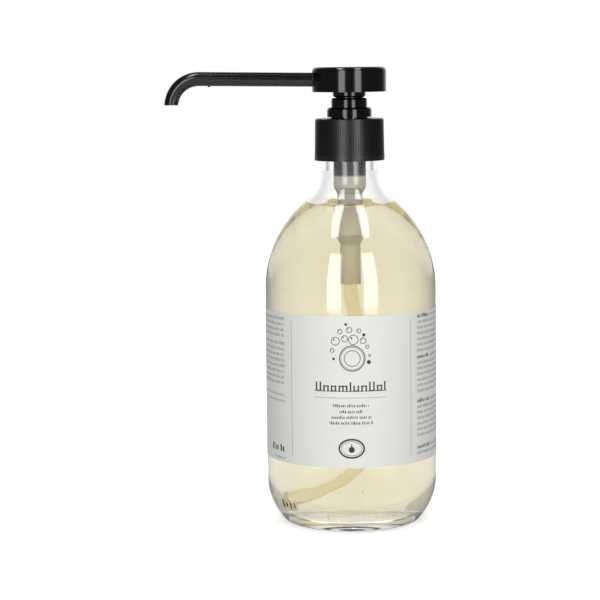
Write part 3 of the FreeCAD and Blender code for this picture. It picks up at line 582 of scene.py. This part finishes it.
def clear_glass(colour):
    """Blown glass: clear, slightly uneven."""
    material, _, shader = new_material(
        "clear_glass", colour,
        {"Roughness": 0.01, "Patch Scale": 40.0, "Tone": 0.01, "Roughness Change": 0.01},
        (0.04, 0.0006), "Patches")
    shader.inputs["Transmission Weight"].default_value = 1.0
    shader.inputs["IOR"].default_value = 1.46
    return material


def pale_soap(colour):
    """Clear pale yellow soap that darkens with its depth."""
    material, tree, shader = new_material(
        "pale_soap", (1.0, 1.0, 1.0),
        {"Roughness": 0.0, "Patch Scale": 30.0, "Tone": 0.0, "Roughness Change": 0.0},
        (0.02, 0.0004), "Patches")
    shader.inputs["Transmission Weight"].default_value = 1.0
    shader.inputs["IOR"].default_value = 1.345
    depth = add_node(tree, "ShaderNodeVolumeAbsorption", {"Color": (*colour, 1), "Density": 15.0})
    tree.links.new(depth.outputs["Volume"], tree.nodes["Material Output"].inputs["Volume"])
    return material


def coated_paper(colour):
    """Off-white label paper with a fine tooth."""
    material, _, shader = new_material(
        "coated_paper", colour,
        {"Roughness": 0.55, "Patch Scale": 45.0, "Grain Scale": 2600.0, "Tone": 0.03,
         "Roughness Change": 0.15}, (0.12, 0.00005))
    shader.inputs["Specular IOR Level"].default_value = 0.35
    return material


def printing_ink(name, colour):
    """Ink with a slightly uneven cover."""
    material, _, shader = new_material(
        name, colour,
        {"Roughness": 0.5, "Patch Scale": 400.0, "Grain Scale": 4000.0, "Tone": 0.3,
         "Roughness Change": 0.1}, (0.1, 0.00003))
    shader.inputs["Specular IOR Level"].default_value = 0.35
    return material


def black_plastic(name, colour, roughness, grain, bump):
    """Moulded black plastic with a given gloss and grain."""
    material, _, shader = new_material(
        name, colour,
        {"Roughness": roughness, "Patch Scale": 130.0, "Grain Scale": grain, "Tone": 0.25,
         "Roughness Change": roughness * 0.4}, bump)
    shader.inputs["IOR"].default_value = 1.57
    return material


def natural_plastic(name, colour, roughness, ior, clearness):
    """Milky see-through plastic; its bend of light is given against what surrounds it."""
    material, _, shader = new_material(
        name, colour,
        {"Roughness": roughness, "Patch Scale": 160.0, "Grain Scale": 1500.0, "Tone": 0.06,
         "Roughness Change": 0.1}, (0.05, 0.00004))
    shader.inputs["Transmission Weight"].default_value = clearness
    shader.inputs["IOR"].default_value = ior
    return material


def housing_plastic(colour, bands):
    """Natural plastic that changes above given heights, with what shows through it."""
    material = natural_plastic("housing_plastic", colour, 0.35, 1.5, 0.15)
    tree = material.node_tree
    shader = tree.nodes["Principled BSDF"]
    skin = shader.inputs["Base Color"].links[0].from_socket
    place = add_node(tree, "ShaderNodeTexCoord")
    axes = add_node(tree, "ShaderNodeSeparateXYZ")
    tree.links.new(place.outputs["Object"], axes.inputs[0])
    for height, tone in bands:
        shows = add_node(tree, "ShaderNodeMapRange", {
            "From Min": height - 0.0006, "From Max": height + 0.0008},
            interpolation_type="SMOOTHSTEP")
        blend = add_node(tree, "ShaderNodeMix", data_type="RGBA")
        blend.inputs["B"].default_value = (*tone, 1)
        tree.links.new(axes.outputs["Z"], shows.inputs["Value"])
        tree.links.new(shows.outputs["Result"], blend.inputs["Factor"])
        tree.links.new(skin, blend.inputs["A"])
        skin = blend.outputs["Result"]
    tree.links.new(skin, shader.inputs["Base Color"])
    return material


def bright_steel(colour):
    """Drawn and polished steel."""
    material, _, shader = new_material(
        "bright_steel", colour,
        {"Roughness": 0.22, "Patch Scale": 500.0, "Grain Scale": 5000.0, "Tone": 0.15,
         "Roughness Change": 0.15}, (0.05, 0.00002))
    shader.inputs["Metallic"].default_value = 1.0
    return material


def gasket_foam(colour):
    """Closed-cell white foam."""
    return new_material(
        "gasket_foam", colour,
        {"Roughness": 0.85, "Patch Scale": 900.0, "Grain Scale": 3500.0, "Tone": 0.12,
         "Roughness Change": 0.1}, (0.5, 0.0001))[0]


def set_material(piece, material):
    """Give a piece one material."""
    piece.data.materials.clear()
    piece.data.materials.append(material)


# Outlines

def inside_arcs(sizes, grow):
    """Give the inside's outline from the shoulder down to the floor, moved out by grow."""
    radius = GLASS_HIGH.x - sizes.wall
    floor_edge = radius - sizes.inner_heel
    floor_height = sizes.push_up + sizes.floor_thickness
    floor_rise = floor_height - sizes.inner_heel_floor
    floor_arc = (floor_edge ** 2 + floor_rise ** 2) / (2 * floor_rise)
    tilt = math.asin(floor_edge / floor_arc)
    heel = arc((floor_edge, sizes.inner_heel_floor + sizes.inner_heel), sizes.inner_heel + grow,
               0, -QUARTER, 24)
    dome = arc((0, floor_height - floor_arc), floor_arc - grow, QUARTER - tilt, QUARTER, 12)
    return heel + dome[1:]


def shoulder_places(sizes):
    """Give the arc centres of the shoulder and the neck, outside and inside."""
    radius = GLASS_HIGH.x
    shoulder_r = radius - sizes.shoulder_arc
    neck_r = sizes.neck_radius + sizes.neck_arc
    inner_shoulder = sizes.shoulder_arc - sizes.wall
    inner_neck = neck_r - sizes.mouth_radius
    rise = math.sqrt((sizes.shoulder_arc + sizes.neck_arc) ** 2 - (neck_r - shoulder_r) ** 2)
    inner_rise = math.sqrt((inner_shoulder + inner_neck) ** 2 - (neck_r - shoulder_r) ** 2)
    start = GLASS_HIGH.z - sizes.neck_length - rise
    return {"shoulder": (shoulder_r, start), "neck": (neck_r, start + rise),
            "inner_neck": (neck_r, start + inner_rise), "inner_shoulder_arc": inner_shoulder,
            "inner_neck_arc": inner_neck,
            "lean": math.atan2(rise, neck_r - shoulder_r),
            "inner_lean": math.atan2(inner_rise, neck_r - shoulder_r)}


def glass_outline(sizes):
    """Give the closed outline of the glass, starting and ending at the foot's inner edge."""
    radius = GLASS_HIGH.x
    top = GLASS_HIGH.z
    heel_arc = radius - sizes.heel_centre
    foot_outer = sizes.heel_centre + math.sqrt(
        (heel_arc - sizes.foot_round) ** 2 - (sizes.heel_height - sizes.foot_round) ** 2)
    foot_inner = foot_outer - sizes.foot_width
    foot_turn = math.atan2(sizes.foot_round - sizes.heel_height, foot_outer - sizes.heel_centre)
    spots = shoulder_places(sizes)
    lip = sizes.lip_round
    dome_arc = (foot_inner ** 2 + sizes.push_up ** 2) / (2 * sizes.push_up)
    dome_tilt = math.asin(foot_inner / dome_arc)
    outline = [(foot_inner, 0)]
    outline += arc((foot_outer, sizes.foot_round), sizes.foot_round, -QUARTER, foot_turn, 6)
    outline += arc((sizes.heel_centre, sizes.heel_height), heel_arc, foot_turn, 0, 24)[1:]
    outline += arc(spots["shoulder"], sizes.shoulder_arc, 0, spots["lean"], 40)
    outline += arc(spots["neck"], sizes.neck_arc, spots["lean"] + math.pi, math.pi, 18)[1:]
    outline += arc((sizes.neck_radius - lip, top - lip), lip, 0, QUARTER, 5)
    outline += arc((sizes.mouth_radius + lip, top - lip), lip, QUARTER, math.pi, 5)
    outline += arc(spots["inner_neck"], spots["inner_neck_arc"], math.pi,
                   spots["inner_lean"] + math.pi, 18)
    outline += arc(spots["shoulder"], spots["inner_shoulder_arc"], spots["inner_lean"], 0, 40)[1:]
    outline += inside_arcs(sizes, 0)
    outline += arc((0, sizes.push_up - dome_arc), dome_arc, QUARTER, QUARTER - dome_tilt, 12)
    return outline


def soap_outline(sizes, pump):
    """Give the soap's outline, from the hole for the pump out to the glass and down."""
    grow = sizes.soap_overlap
    level = SOAP_HIGH.z
    spots = shoulder_places(sizes)
    outer_arc = spots["inner_shoulder_arc"] + grow
    wall_turn = math.asin((level + sizes.meniscus - spots["shoulder"][1]) / outer_arc)
    wall_r = spots["shoulder"][0] + outer_arc * math.cos(wall_turn)
    chamber_r = pump.chamber_radius - grow
    socket_r = pump.socket_radius - grow
    curl = 2 * sizes.meniscus
    outline = [(0, CHAMBER_LOW.z + grow), (socket_r, CHAMBER_LOW.z + grow),
               (socket_r, pump.chamber_floor - pump.chamber_cone),
               (chamber_r, pump.chamber_floor)]
    for i in range(9):
        part = i / 8
        outline.append((chamber_r + curl * part, level + sizes.meniscus * (1 - part) ** 3))
    for i in range(9):
        part = i / 8
        outline.append((wall_r - curl * (1 - part), level + sizes.meniscus * part ** 3))
    outline += arc(spots["shoulder"], outer_arc, wall_turn, 0, 24)[1:]
    return outline + inside_arcs(sizes, grow)


# Operators for the bottle, the soap and the label

def mould_marks(sizes):
    """Make the plain bars that stand out of the heel's outer face."""
    heel_arc = GLASS_HIGH.x - sizes.heel_centre
    marks = []
    for angle, height, tall in MOULD_MARKS:
        start_flat("mould_mark")
        bpy.ops.mesh.primitive_cube_add(size=1, location=(0, 0, 0))
        bpy.ops.transform.resize(value=(MARK_WIDTH, MARK_DEPTH, tall), center_override=(0, 0, 0))
        bpy.ops.mesh.bevel(offset=MARK_ROUND, segments=3)
        bpy.ops.object.mode_set(mode="OBJECT")
        mark = bpy.context.active_object
        tilt = math.asin(max(sizes.heel_height - height, 0) / heel_arc)
        reach = sizes.heel_centre + heel_arc * math.cos(tilt) - MARK_SINK
        turn = math.radians(angle)
        mark.rotation_euler = (tilt, 0, turn)
        mark.location = (reach * math.sin(turn), -reach * math.cos(turn), height)
        bpy.ops.object.transform_apply()
        marks.append(mark)
    return join(marks, "mould_marks")


def unite(piece, added):
    """Grow another closed piece onto a piece, and take the other away."""
    union = piece.modifiers.new("marks", "BOOLEAN")
    union.operation = "UNION"
    union.solver = "EXACT"
    union.object = added
    apply_modifiers(piece)
    bpy.data.objects.remove(added)
    bpy.ops.object.shade_smooth_by_angle(angle=SMOOTH_ANGLE)


class SOAP_OT_glass_bottle(bpy.types.Operator):
    """Spin the glass from its outline and raise its mould marks"""
    bl_idname = "soap.glass_bottle"
    bl_label = "Glass bottle"

    def execute(self, context):
        sizes = context.scene.bottle_sizes
        piece = turned("glass_bottle_clear", glass_outline(sizes))
        unite(piece, mould_marks(sizes))
        set_material(piece, clear_glass(context.scene.finishes.glass))
        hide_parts("glass_bottle")
        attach(piece, "bottle")
        return {"FINISHED"}


class SOAP_OT_liquid_soap(bpy.types.Operator):
    """Spin the soap, with its curled-up edge against the glass and the pump"""
    bl_idname = "soap.liquid_soap"
    bl_label = "Liquid soap"

    def execute(self, context):
        outline = soap_outline(context.scene.bottle_sizes, context.scene.pump_sizes)
        piece = turned("liquid_soap_clear", outline)
        set_material(piece, pale_soap(context.scene.finishes.soap))
        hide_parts("liquid_soap")
        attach(piece, "bottle")
        return {"FINISHED"}


class SOAP_OT_paper_label(bpy.types.Operator):
    """Cut the label's sheet flat, round its corners and wrap it round the glass"""
    bl_idname = "soap.paper_label"
    bl_label = "Paper label"
    corner: bpy.props.FloatProperty(
        name="Corner", description="Round of the label's corners", default=0.0015,
        unit="LENGTH", precision=5)
    seam: bpy.props.FloatProperty(
        name="Seam", description="Open angle at the back", default=math.radians(99),
        subtype="ANGLE")
    paper: bpy.props.FloatProperty(
        name="Paper", description="Thickness of the paper", default=0.00012, unit="LENGTH",
        precision=5)

    def execute(self, context):
        radius = LABEL_HIGH.x - INK_HEIGHT
        width = (TURN - self.seam) * radius
        height = LABEL_HIGH.z - LABEL_LOW.z
        middle = (LABEL_HIGH.z + LABEL_LOW.z) / 2
        start_flat("paper_label_sheet")
        flat_patch(0, middle, width, height, columns=240, rows=12)
        bpy.ops.object.mode_set(mode="OBJECT")
        piece = bpy.context.active_object
        select_places(piece, lambda co: abs(co.x) > width / 2 - 0.0001
                      and abs(co.z - middle) > height / 2 - 0.0001)
        bpy.ops.mesh.bevel(affect="VERTICES", offset=self.corner, segments=5)
        bpy.ops.object.mode_set(mode="OBJECT")
        wrap_sheet(piece, radius, self.paper)
        bpy.ops.object.shade_smooth_by_angle(angle=SMOOTH_ANGLE)
        set_material(piece, coated_paper(context.scene.finishes.paper))
        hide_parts("paper_label")
        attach(piece, "bottle")
        return {"FINISHED"}


def end_print(name, ink):
    """Wrap a print on the label and let it ride with it."""
    bpy.ops.object.mode_set(mode="OBJECT")
    piece = bpy.context.active_object
    wrap_sheet(piece, LABEL_HIGH.x, INK_SHEET)
    set_material(piece, ink)
    name_piece(name)
    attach(piece, "bottle")
    return piece


class SOAP_OT_label_print(bpy.types.Operator):
    """Print plain generic rows, rules and a picture of a plate with bubbles on the label"""
    bl_idname = "soap.label_print"
    bl_label = "Label print"

    def execute(self, context):
        looks = context.scene.finishes
        dark = printing_ink("dark_ink", looks.ink)
        pale = printing_ink("grey_ink", looks.pale_ink)
        rules = printing_ink("rule_ink", looks.rule_ink)
        shuffle = random.Random(5)
        self.print_picture(dark)
        self.print_title(dark)
        self.print_rules(rules)
        self.print_badge(dark)
        self.print_small_rows(shuffle, rules)
        self.print_right_text(shuffle, dark, pale)
        self.print_left_text(shuffle, dark, pale)
        return {"FINISHED"}

    def print_picture(self, ink):
        """Draw the plate and its bubbles."""
        start_flat("label_picture")
        flat_ring(*PLATE_PLACE, 0.0057, 0.00042)
        flat_ring(*PLATE_PLACE, 0.0050, 0.00018)
        flat_ring(*PLATE_PLACE, 0.0036, PICTURE_LINE)
        for x, z, radius in BUBBLES:
            flat_ring(x, z, radius, PICTURE_LINE)
            flat_disc(x - 0.35 * radius, z + 0.35 * radius, 0.16 * radius, 1.5)
        for x, z, radius in DARK_BUBBLES:
            flat_disc(x, z, radius)
        end_print("label_picture", ink)

    def print_title(self, ink):
        """Lay the title's letter-like shapes, which spell nothing."""
        start_flat("label_title")
        place = TITLE_START
        for kind in TITLE_SHAPES:
            stems, width, tall, bar_top, bar_foot = TITLE_KINDS[kind]
            middle = place + width / 2
            for i in range(stems):
                spot = place + TITLE_STEM / 2 + i * (width - TITLE_STEM) / max(stems - 1, 1)
                flat_patch(spot, TITLE_BASE + tall / 2, TITLE_STEM, tall)
                flat_patch(spot, TITLE_BASE + TITLE_SERIF / 2, 2.4 * TITLE_STEM, TITLE_SERIF)
            if bar_top:
                flat_patch(middle, TITLE_BASE + TITLE_HEIGHT - TITLE_SERIF, width,
                           1.6 * TITLE_SERIF, columns=3)
            if bar_foot:
                flat_patch(middle, TITLE_BASE + TITLE_SERIF, width, 1.6 * TITLE_SERIF, columns=3)
            place += width + TITLE_SPACE
        end_print("label_title", ink)

    def print_rules(self, ink):
        """Rule the two panel edges and the line under the title."""
        start_flat("label_rules")
        for x in (-0.0286, 0.0286):
            flat_patch(x, 0.0640, 0.00016, 0.0602)
        flat_patch(-0.0005, 0.06125, 0.0322, 0.00016, columns=40)
        end_print("label_rules", ink)

    def print_badge(self, ink):
        """Draw the double ring with a drop in it."""
        start_flat("label_badge")
        flat_ring(*BADGE_PLACE, 0.0058, 0.00075, 0.76)
        flat_ring(*BADGE_PLACE, 0.0046, 0.00020, 0.70)
        bpy.ops.mesh.primitive_circle_add(vertices=24, radius=DROP_RADIUS, fill_type="NGON",
                                          location=(0, 0, 0.0385), rotation=(QUARTER, 0, 0))
        bpy.ops.object.mode_set(mode="OBJECT")
        piece = bpy.context.active_object
        tip = max(v.co.z for v in piece.data.vertices if abs(v.co.x) < 0.0014 and v.co.z < 0.0400)
        select_places(piece, lambda co: abs(co.z - tip) < 0.000001 and abs(co.x) < 0.0003)
        bpy.ops.transform.translate(value=(0, 0, DROP_TIP))
        end_print("label_badge", ink)

    def print_small_rows(self, shuffle, ink):
        """Lay the four short rows under the title."""
        start_flat("label_small_rows")
        for z, half in ((0.0572, 0.0080), (0.0546, 0.0052), (0.0521, 0.0087), (0.0496, 0.0096)):
            letter_row(shuffle, -half, half, z, 0.00095)
        end_print("label_small_rows", ink)

    def print_right_text(self, shuffle, dark, pale):
        """Lay the paragraphs of the right panel with their darker heads."""
        left = RIGHT_START
        start_flat("right_paragraph")
        for i in range(7):
            letter_row(shuffle, left + (HEAD_INDENT if i == 0 else 0),
                       shuffle.uniform(0.074, 0.080), 0.0943 - ROW_STEP * i, ROW_HEIGHT)
        bpy.ops.object.mode_set(mode="OBJECT")
        first = name_piece("right_paragraph")
        rows = [first, copy_down(first, 0.0180), copy_down(first, 0.0375)]
        start_flat("right_last_rows")
        letter_row(shuffle, left + HEAD_INDENT, 0.078, 0.0363, ROW_HEIGHT)
        letter_row(shuffle, left, 0.070, 0.0338, ROW_HEIGHT)
        bpy.ops.object.mode_set(mode="OBJECT")
        rows.append(bpy.context.active_object)
        join(rows, "label_right_text")
        end_print("label_right_text", pale)
        start_flat("label_right_heads")
        for z in (0.0943, 0.0763, 0.0568, 0.0363):
            letter_row(shuffle, left, left + 0.0095, z, 0.00120)
        end_print("label_right_heads", dark)

    def print_left_text(self, shuffle, dark, pale):
        """Lay the paragraphs of the left panel and the larger row at its foot."""
        right = LEFT_END
        start_flat("left_paragraph")
        for i in range(4):
            letter_row(shuffle, -shuffle.uniform(0.074, 0.080), right, 0.0936 - ROW_STEP * i,
                       ROW_HEIGHT)
        bpy.ops.object.mode_set(mode="OBJECT")
        first = name_piece("left_paragraph")
        rows = [first, copy_down(first, 0.0110), copy_down(first, 0.0210)]
        start_flat("left_last_rows")
        letter_row(shuffle, -0.056, right, 0.0600, 0.00075)
        letter_row(shuffle, -0.050, right, 0.0573, 0.00075)
        letter_row(shuffle, -0.041, right, 0.0318, 0.00075)
        bpy.ops.object.mode_set(mode="OBJECT")
        rows.append(bpy.context.active_object)
        join(rows, "label_left_text")
        end_print("label_left_text", pale)
        start_flat("label_left_size")
        letter_row(shuffle, -0.0440, right, 0.0352, 0.0021)
        end_print("label_left_size", dark)


# The stage and its operator

def floor_glow(tree):
    """Give the floor's glow, which only the camera and rays through glass meet; round the foot,
    rays through glass also meet a painted pool of caustic light.
    """
    path = add_node(tree, "ShaderNodeLightPath")
    place = add_node(tree, "ShaderNodeTexCoord")
    reach = add_node(tree, "ShaderNodeVectorMath", operation="LENGTH")
    ahead = add_node(tree, "ShaderNodeVectorMath", operation="NORMALIZE")
    axes = add_node(tree, "ShaderNodeSeparateXYZ")
    tree.links.new(place.outputs["Object"], reach.inputs[0])
    tree.links.new(place.outputs["Object"], ahead.inputs[0])
    tree.links.new(ahead.outputs[0], axes.inputs[0])
    distance = reach.outputs["Value"]
    through = path.outputs["Is Transmission Ray"]
    side = add_ramp(tree, axes.outputs["Y"], *WHITE_BEHIND, FLOOR_SIDES, 1.0)
    near = add_ramp(tree, distance, *FLOOR_NEAR, 1.0, 0.0)
    bent = add_math(tree, "MULTIPLY", add_math(tree, "MAXIMUM", side, near), through)
    seen = add_math(tree, "MAXIMUM", path.outputs["Is Camera Ray"], bent)
    far = add_ramp(tree, distance, *FLOOR_FAR, *FLOOR_GLOW)
    # Painted caustic light: the floor round the foot glows brighter for rays through the glass
    foot = add_ramp(tree, distance, *PAINTED_CAUSTIC_REACH, PAINTED_CAUSTIC_GLOW, 0.0)
    painted_caustic_seen = add_math(tree, "MULTIPLY", foot, through)
    return add_math(tree, "ADD", add_math(tree, "MULTIPLY", seen, far), painted_caustic_seen)


def add_floor(colour):
    """Lay the pale floor and let it run out into white with its distance."""
    deselect()
    bpy.ops.mesh.primitive_plane_add(size=FLOOR_SIZE, location=(0, 0, 0))
    floor = name_piece("studio_floor")
    material, tree, shader = new_material(
        "studio_white", colour,
        {"Roughness": 0.7, "Patch Scale": 3.0, "Grain Scale": 300.0, "Tone": 0.01,
         "Roughness Change": 0.1}, (0.05, 0.0002))
    shader.inputs["Emission Color"].default_value = (1, 1, 1, 1)
    tree.links.new(floor_glow(tree), shader.inputs["Emission Strength"])
    set_material(floor, material)


def add_strip(name, place, aim, turn, size, power):
    """Add one softbox that faces a point, turned about the vertical."""
    deselect()
    bpy.ops.object.light_add(type="AREA", location=place)
    lamp = bpy.context.active_object
    lamp.name = name
    lamp.data.shape = "RECTANGLE"
    lamp.data.size, lamp.data.size_y = size
    lamp.data.energy = power
    lamp.rotation_euler = (Vector(aim) - Vector(place)).to_track_quat("-Z", "Y").to_euler()
    lamp.rotation_euler.z += turn
    lamp.visible_camera = False


def add_lights(light):
    """Stand two tall strips before the bottle and hang two above it."""
    height = (STRIP_LOW + STRIP_HIGH) / 2
    for word, turn in STRIP_TURNS:
        place = (STRIP_DISTANCE * math.sin(turn), -STRIP_DISTANCE * math.cos(turn), height)
        add_strip(f"strip_{word}", place, (0, 0, height), 0,
                  (STRIP_WIDTH, STRIP_HIGH - STRIP_LOW), light.strip_power)
        side = math.copysign(1, turn)
        top = (side * TOP_PLACE.x, TOP_PLACE.y, TOP_PLACE.z)
        add_strip(f"top_{word}", top, (top[0], top[1], 0), side * TOP_TURN,
                  (TOP_WIDTH, TOP_LENGTH), light.top_power)


def add_surround(light):
    """White behind the bottle and for the camera, dim before the bottle."""
    world = bpy.data.worlds.new("studio")
    bpy.context.scene.world = world
    world.use_nodes = True
    tree = world.node_tree
    surround = tree.nodes["Background"]
    where = add_node(tree, "ShaderNodeTexCoord")
    axes = add_node(tree, "ShaderNodeSeparateXYZ")
    path = add_node(tree, "ShaderNodeLightPath")
    tree.links.new(where.outputs["Generated"], axes.inputs[0])
    behind = add_ramp(tree, axes.outputs["Y"], *WHITE_BEHIND, light.room, light.backdrop)
    inside = add_ramp(tree, path.outputs["Diffuse Depth"], 0.0, 1.0, light.glass_room,
                      light.held_light)
    through = add_math(tree, "MULTIPLY", path.outputs["Is Transmission Ray"], inside)
    bent = add_math(tree, "MAXIMUM", through, behind)
    level = add_math(tree, "MAXIMUM", bent, path.outputs["Is Camera Ray"])
    tree.links.new(level, surround.inputs["Strength"])
    surround.inputs["Color"].default_value = (1, 1, 1, 1)


def add_camera():
    """Set the camera at the photograph's place and angle."""
    ahead = Vector((-math.sin(CAMERA_YAW) * math.cos(CAMERA_PITCH),
                    math.cos(CAMERA_YAW) * math.cos(CAMERA_PITCH), -math.sin(CAMERA_PITCH)))
    level = Vector((math.cos(CAMERA_YAW), math.sin(CAMERA_YAW), 0))
    upright = level.cross(ahead)
    right = math.cos(CAMERA_ROLL) * level - math.sin(CAMERA_ROLL) * upright
    up = math.sin(CAMERA_ROLL) * level + math.cos(CAMERA_ROLL) * upright
    bpy.ops.object.camera_add(location=CAMERA_PLACE)
    camera = bpy.context.active_object
    camera.name = "photo_camera"
    camera.data.lens = CAMERA_LENS
    camera.data.sensor_width = 36
    camera.rotation_euler = Matrix((right, up, -ahead)).transposed().to_euler()
    bpy.context.scene.camera = camera


class SOAP_OT_stage(bpy.types.Operator):
    """Set the floor, the studio lights, the white surround and the camera"""
    bl_idname = "soap.stage"
    bl_label = "Stage"

    def execute(self, context):
        scene = context.scene
        add_floor(scene.finishes.table)
        add_lights(scene.studio_light)
        add_surround(scene.studio_light)
        add_camera()
        scene.view_settings.view_transform = "Standard"
        scene.cycles.max_bounces = GLASS_PASSES
        scene.cycles.transmission_bounces = GLASS_PASSES
        scene.cycles.glossy_bounces = GLASS_PASSES // 2
        return {"FINISHED"}


# Operators for the pump and the threads

class SOAP_OT_pump_finish(bpy.types.Operator):
    """Give the pump's own pieces their finishes"""
    bl_idname = "soap.pump_finish"
    bl_label = "Pump finishes"

    def execute(self, context):
        looks = context.scene.finishes
        glossy = black_plastic("glossy_black", looks.black, 0.12, 2500.0, (0.03, 0.00003))
        satin = black_plastic("satin_black", looks.satin_black, 0.2, 1800.0, (0.012, 0.00002))
        ribbed = black_plastic("ribbed_black", looks.satin_black, 0.33, 3500.0, (0.08, 0.00004))
        natural = natural_plastic("natural_plastic", looks.natural, 0.4, 1.5, 0.15)
        wetted = natural_plastic("wetted_plastic", looks.tube, 0.06, 1.07, 1.0)
        housing = housing_plastic(looks.natural, (
            (SOAP_HIGH.z, looks.dry_tone),
            (context.scene.pump_sizes.sleeve_end, looks.sleeve_tone)))
        steel = bright_steel(looks.steel)
        finishes = {
            "pump_head": glossy, "lock_collar": glossy, "stem": glossy, "spout_tube": satin,
            "screw_cap": ribbed, "pump_housing": housing, "dip_tube": wetted,
            "piston_rod": natural, "piston_seal": natural, "spring": steel,
            "inlet_ball": steel, "outlet_ball": steel, "gasket": gasket_foam(looks.foam)}
        for node, finish in finishes.items():
            set_material(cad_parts[node], finish)
        return {"FINISHED"}


def thread_ridge(name, root, crest, start, sizes):
    """Wind a ridge with sloping sides from its root to its crest."""
    depth = abs(crest - root)
    start_flat(name)
    flat_patch((root + crest) / 2, start, depth, sizes.ridge_root)
    bpy.ops.object.mode_set(mode="OBJECT")
    piece = bpy.context.active_object
    select_places(piece, lambda co: abs(co.x - crest) < 0.00001)
    bpy.ops.transform.resize(value=(1, 1, sizes.ridge_crest / sizes.ridge_root),
                             center_override=(crest, 0, start))
    bpy.ops.mesh.select_all(action="SELECT")
    bpy.ops.mesh.delete(type="ONLY_FACE")
    bpy.ops.object.mode_set(mode="OBJECT")
    winding = piece.modifiers.new("winding", "SCREW")
    winding.angle = TURN * sizes.turns
    winding.screw_offset = sizes.pitch * sizes.turns
    winding.steps = winding.render_steps = 144
    apply_modifiers(piece)
    bpy.ops.object.mode_set(mode="EDIT")
    bpy.ops.mesh.select_all(action="SELECT")
    bpy.ops.mesh.fill_holes(sides=4)
    bpy.ops.mesh.normals_make_consistent(inside=False)
    bpy.ops.object.mode_set(mode="OBJECT")
    bpy.ops.object.shade_smooth_by_angle(angle=THREAD_ANGLE)
    return name_piece(name)


class SOAP_OT_threads(bpy.types.Operator):
    """Wind the thread of the neck and the thread inside the cap"""
    bl_idname = "soap.threads"
    bl_label = "Threads"

    def execute(self, context):
        sizes = context.scene.thread_sizes
        neck = thread_ridge("neck_thread", sizes.neck_root, sizes.neck_crest, sizes.start, sizes)
        set_material(neck, bpy.data.materials["clear_glass"])
        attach(neck, "bottle")
        cap = thread_ridge("cap_thread", sizes.cap_root, sizes.cap_crest,
                           sizes.start - sizes.offset, sizes)
        set_material(cap, bpy.data.materials["ribbed_black"])
        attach(cap, "cap")
        return {"FINISHED"}


class SOAP_OT_gate_mark(bpy.types.Operator):
    """Leave the small round mark of the mould's gate under the spout"""
    bl_idname = "soap.gate_mark"
    bl_label = "Gate mark"
    place: bpy.props.FloatProperty(
        name="Place", description="Distance of the mark from the bottle's axis", default=0.0620,
        unit="LENGTH", precision=5)
    radius: bpy.props.FloatProperty(
        name="Radius", description="Radius of the mark", default=0.0006, unit="LENGTH", precision=5)

    def execute(self, context):
        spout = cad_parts["spout_tube"]
        below = spout.matrix_world.inverted() @ Vector((-self.place, 0, 0))
        found, under, _, _ = spout.ray_cast(below, Vector((0, 0, 1)))
        if not found:
            raise RuntimeError("the spout has no underside at the gate mark's place")
        height = (spout.matrix_world @ under).z
        start_flat("spout_gate_mark")
        bpy.ops.mesh.primitive_cylinder_add(vertices=24, radius=self.radius, depth=0.0008,
                                            location=(-self.place, 0, height))
        bpy.ops.mesh.bevel(offset=0.00012, segments=2)
        bpy.ops.object.mode_set(mode="OBJECT")
        bpy.ops.object.shade_smooth_by_angle(angle=SMOOTH_ANGLE)
        piece = name_piece("spout_gate_mark")
        set_material(piece, bpy.data.materials["satin_black"])
        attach(piece, "head")
        return {"FINISHED"}


# The panel and the add-on's own steps

class SOAP_PT_bottle(bpy.types.Panel):
    """Sizes, colours and build steps of the soap bottle"""
    bl_idname = "SOAP_PT_bottle"
    bl_label = "Soap Bottle"
    bl_space_type = "VIEW_3D"
    bl_region_type = "UI"
    bl_category = "Soap Bottle"

    def draw(self, context):
        layout = self.layout
        for word, _ in GROUPS:
            group = getattr(context.scene, word)
            box = layout.box()
            for name in group.bl_rna.properties.keys():
                if name not in ("rna_type", "name"):
                    box.prop(group, name)
        for step in STEPS:
            layout.operator(step.bl_idname)


GROUPS = (("bottle_sizes", BottleSizes), ("pump_sizes", PumpSizes),
          ("thread_sizes", ThreadSizes), ("finishes", Finishes), ("studio_light", StudioLight))
STEPS = (SOAP_OT_glass_bottle, SOAP_OT_liquid_soap, SOAP_OT_paper_label, SOAP_OT_label_print,
         SOAP_OT_pump_finish, SOAP_OT_threads, SOAP_OT_gate_mark, SOAP_OT_stage)


def register():
    """Register the classes and hang the settings on the scene."""
    for name, group in GROUPS:
        bpy.utils.register_class(group)
        setattr(bpy.types.Scene, name, bpy.props.PointerProperty(type=group))
    for step in STEPS:
        bpy.utils.register_class(step)
    bpy.utils.register_class(SOAP_PT_bottle)


def unregister():
    """Take the settings and the classes away."""
    bpy.utils.unregister_class(SOAP_PT_bottle)
    for step in reversed(STEPS):
        bpy.utils.unregister_class(step)
    for name, group in reversed(GROUPS):
        delattr(bpy.types.Scene, name)
        bpy.utils.unregister_class(group)


def main():
    """Build every piece and the stage."""
    register()
    bpy.ops.soap.glass_bottle()
    bpy.ops.soap.liquid_soap()
    bpy.ops.soap.paper_label()
    bpy.ops.soap.label_print()
    bpy.ops.soap.pump_finish()
    bpy.ops.soap.threads()
    bpy.ops.soap.gate_mark()
    bpy.ops.soap.stage()


if __name__ == "__main__":
    main()
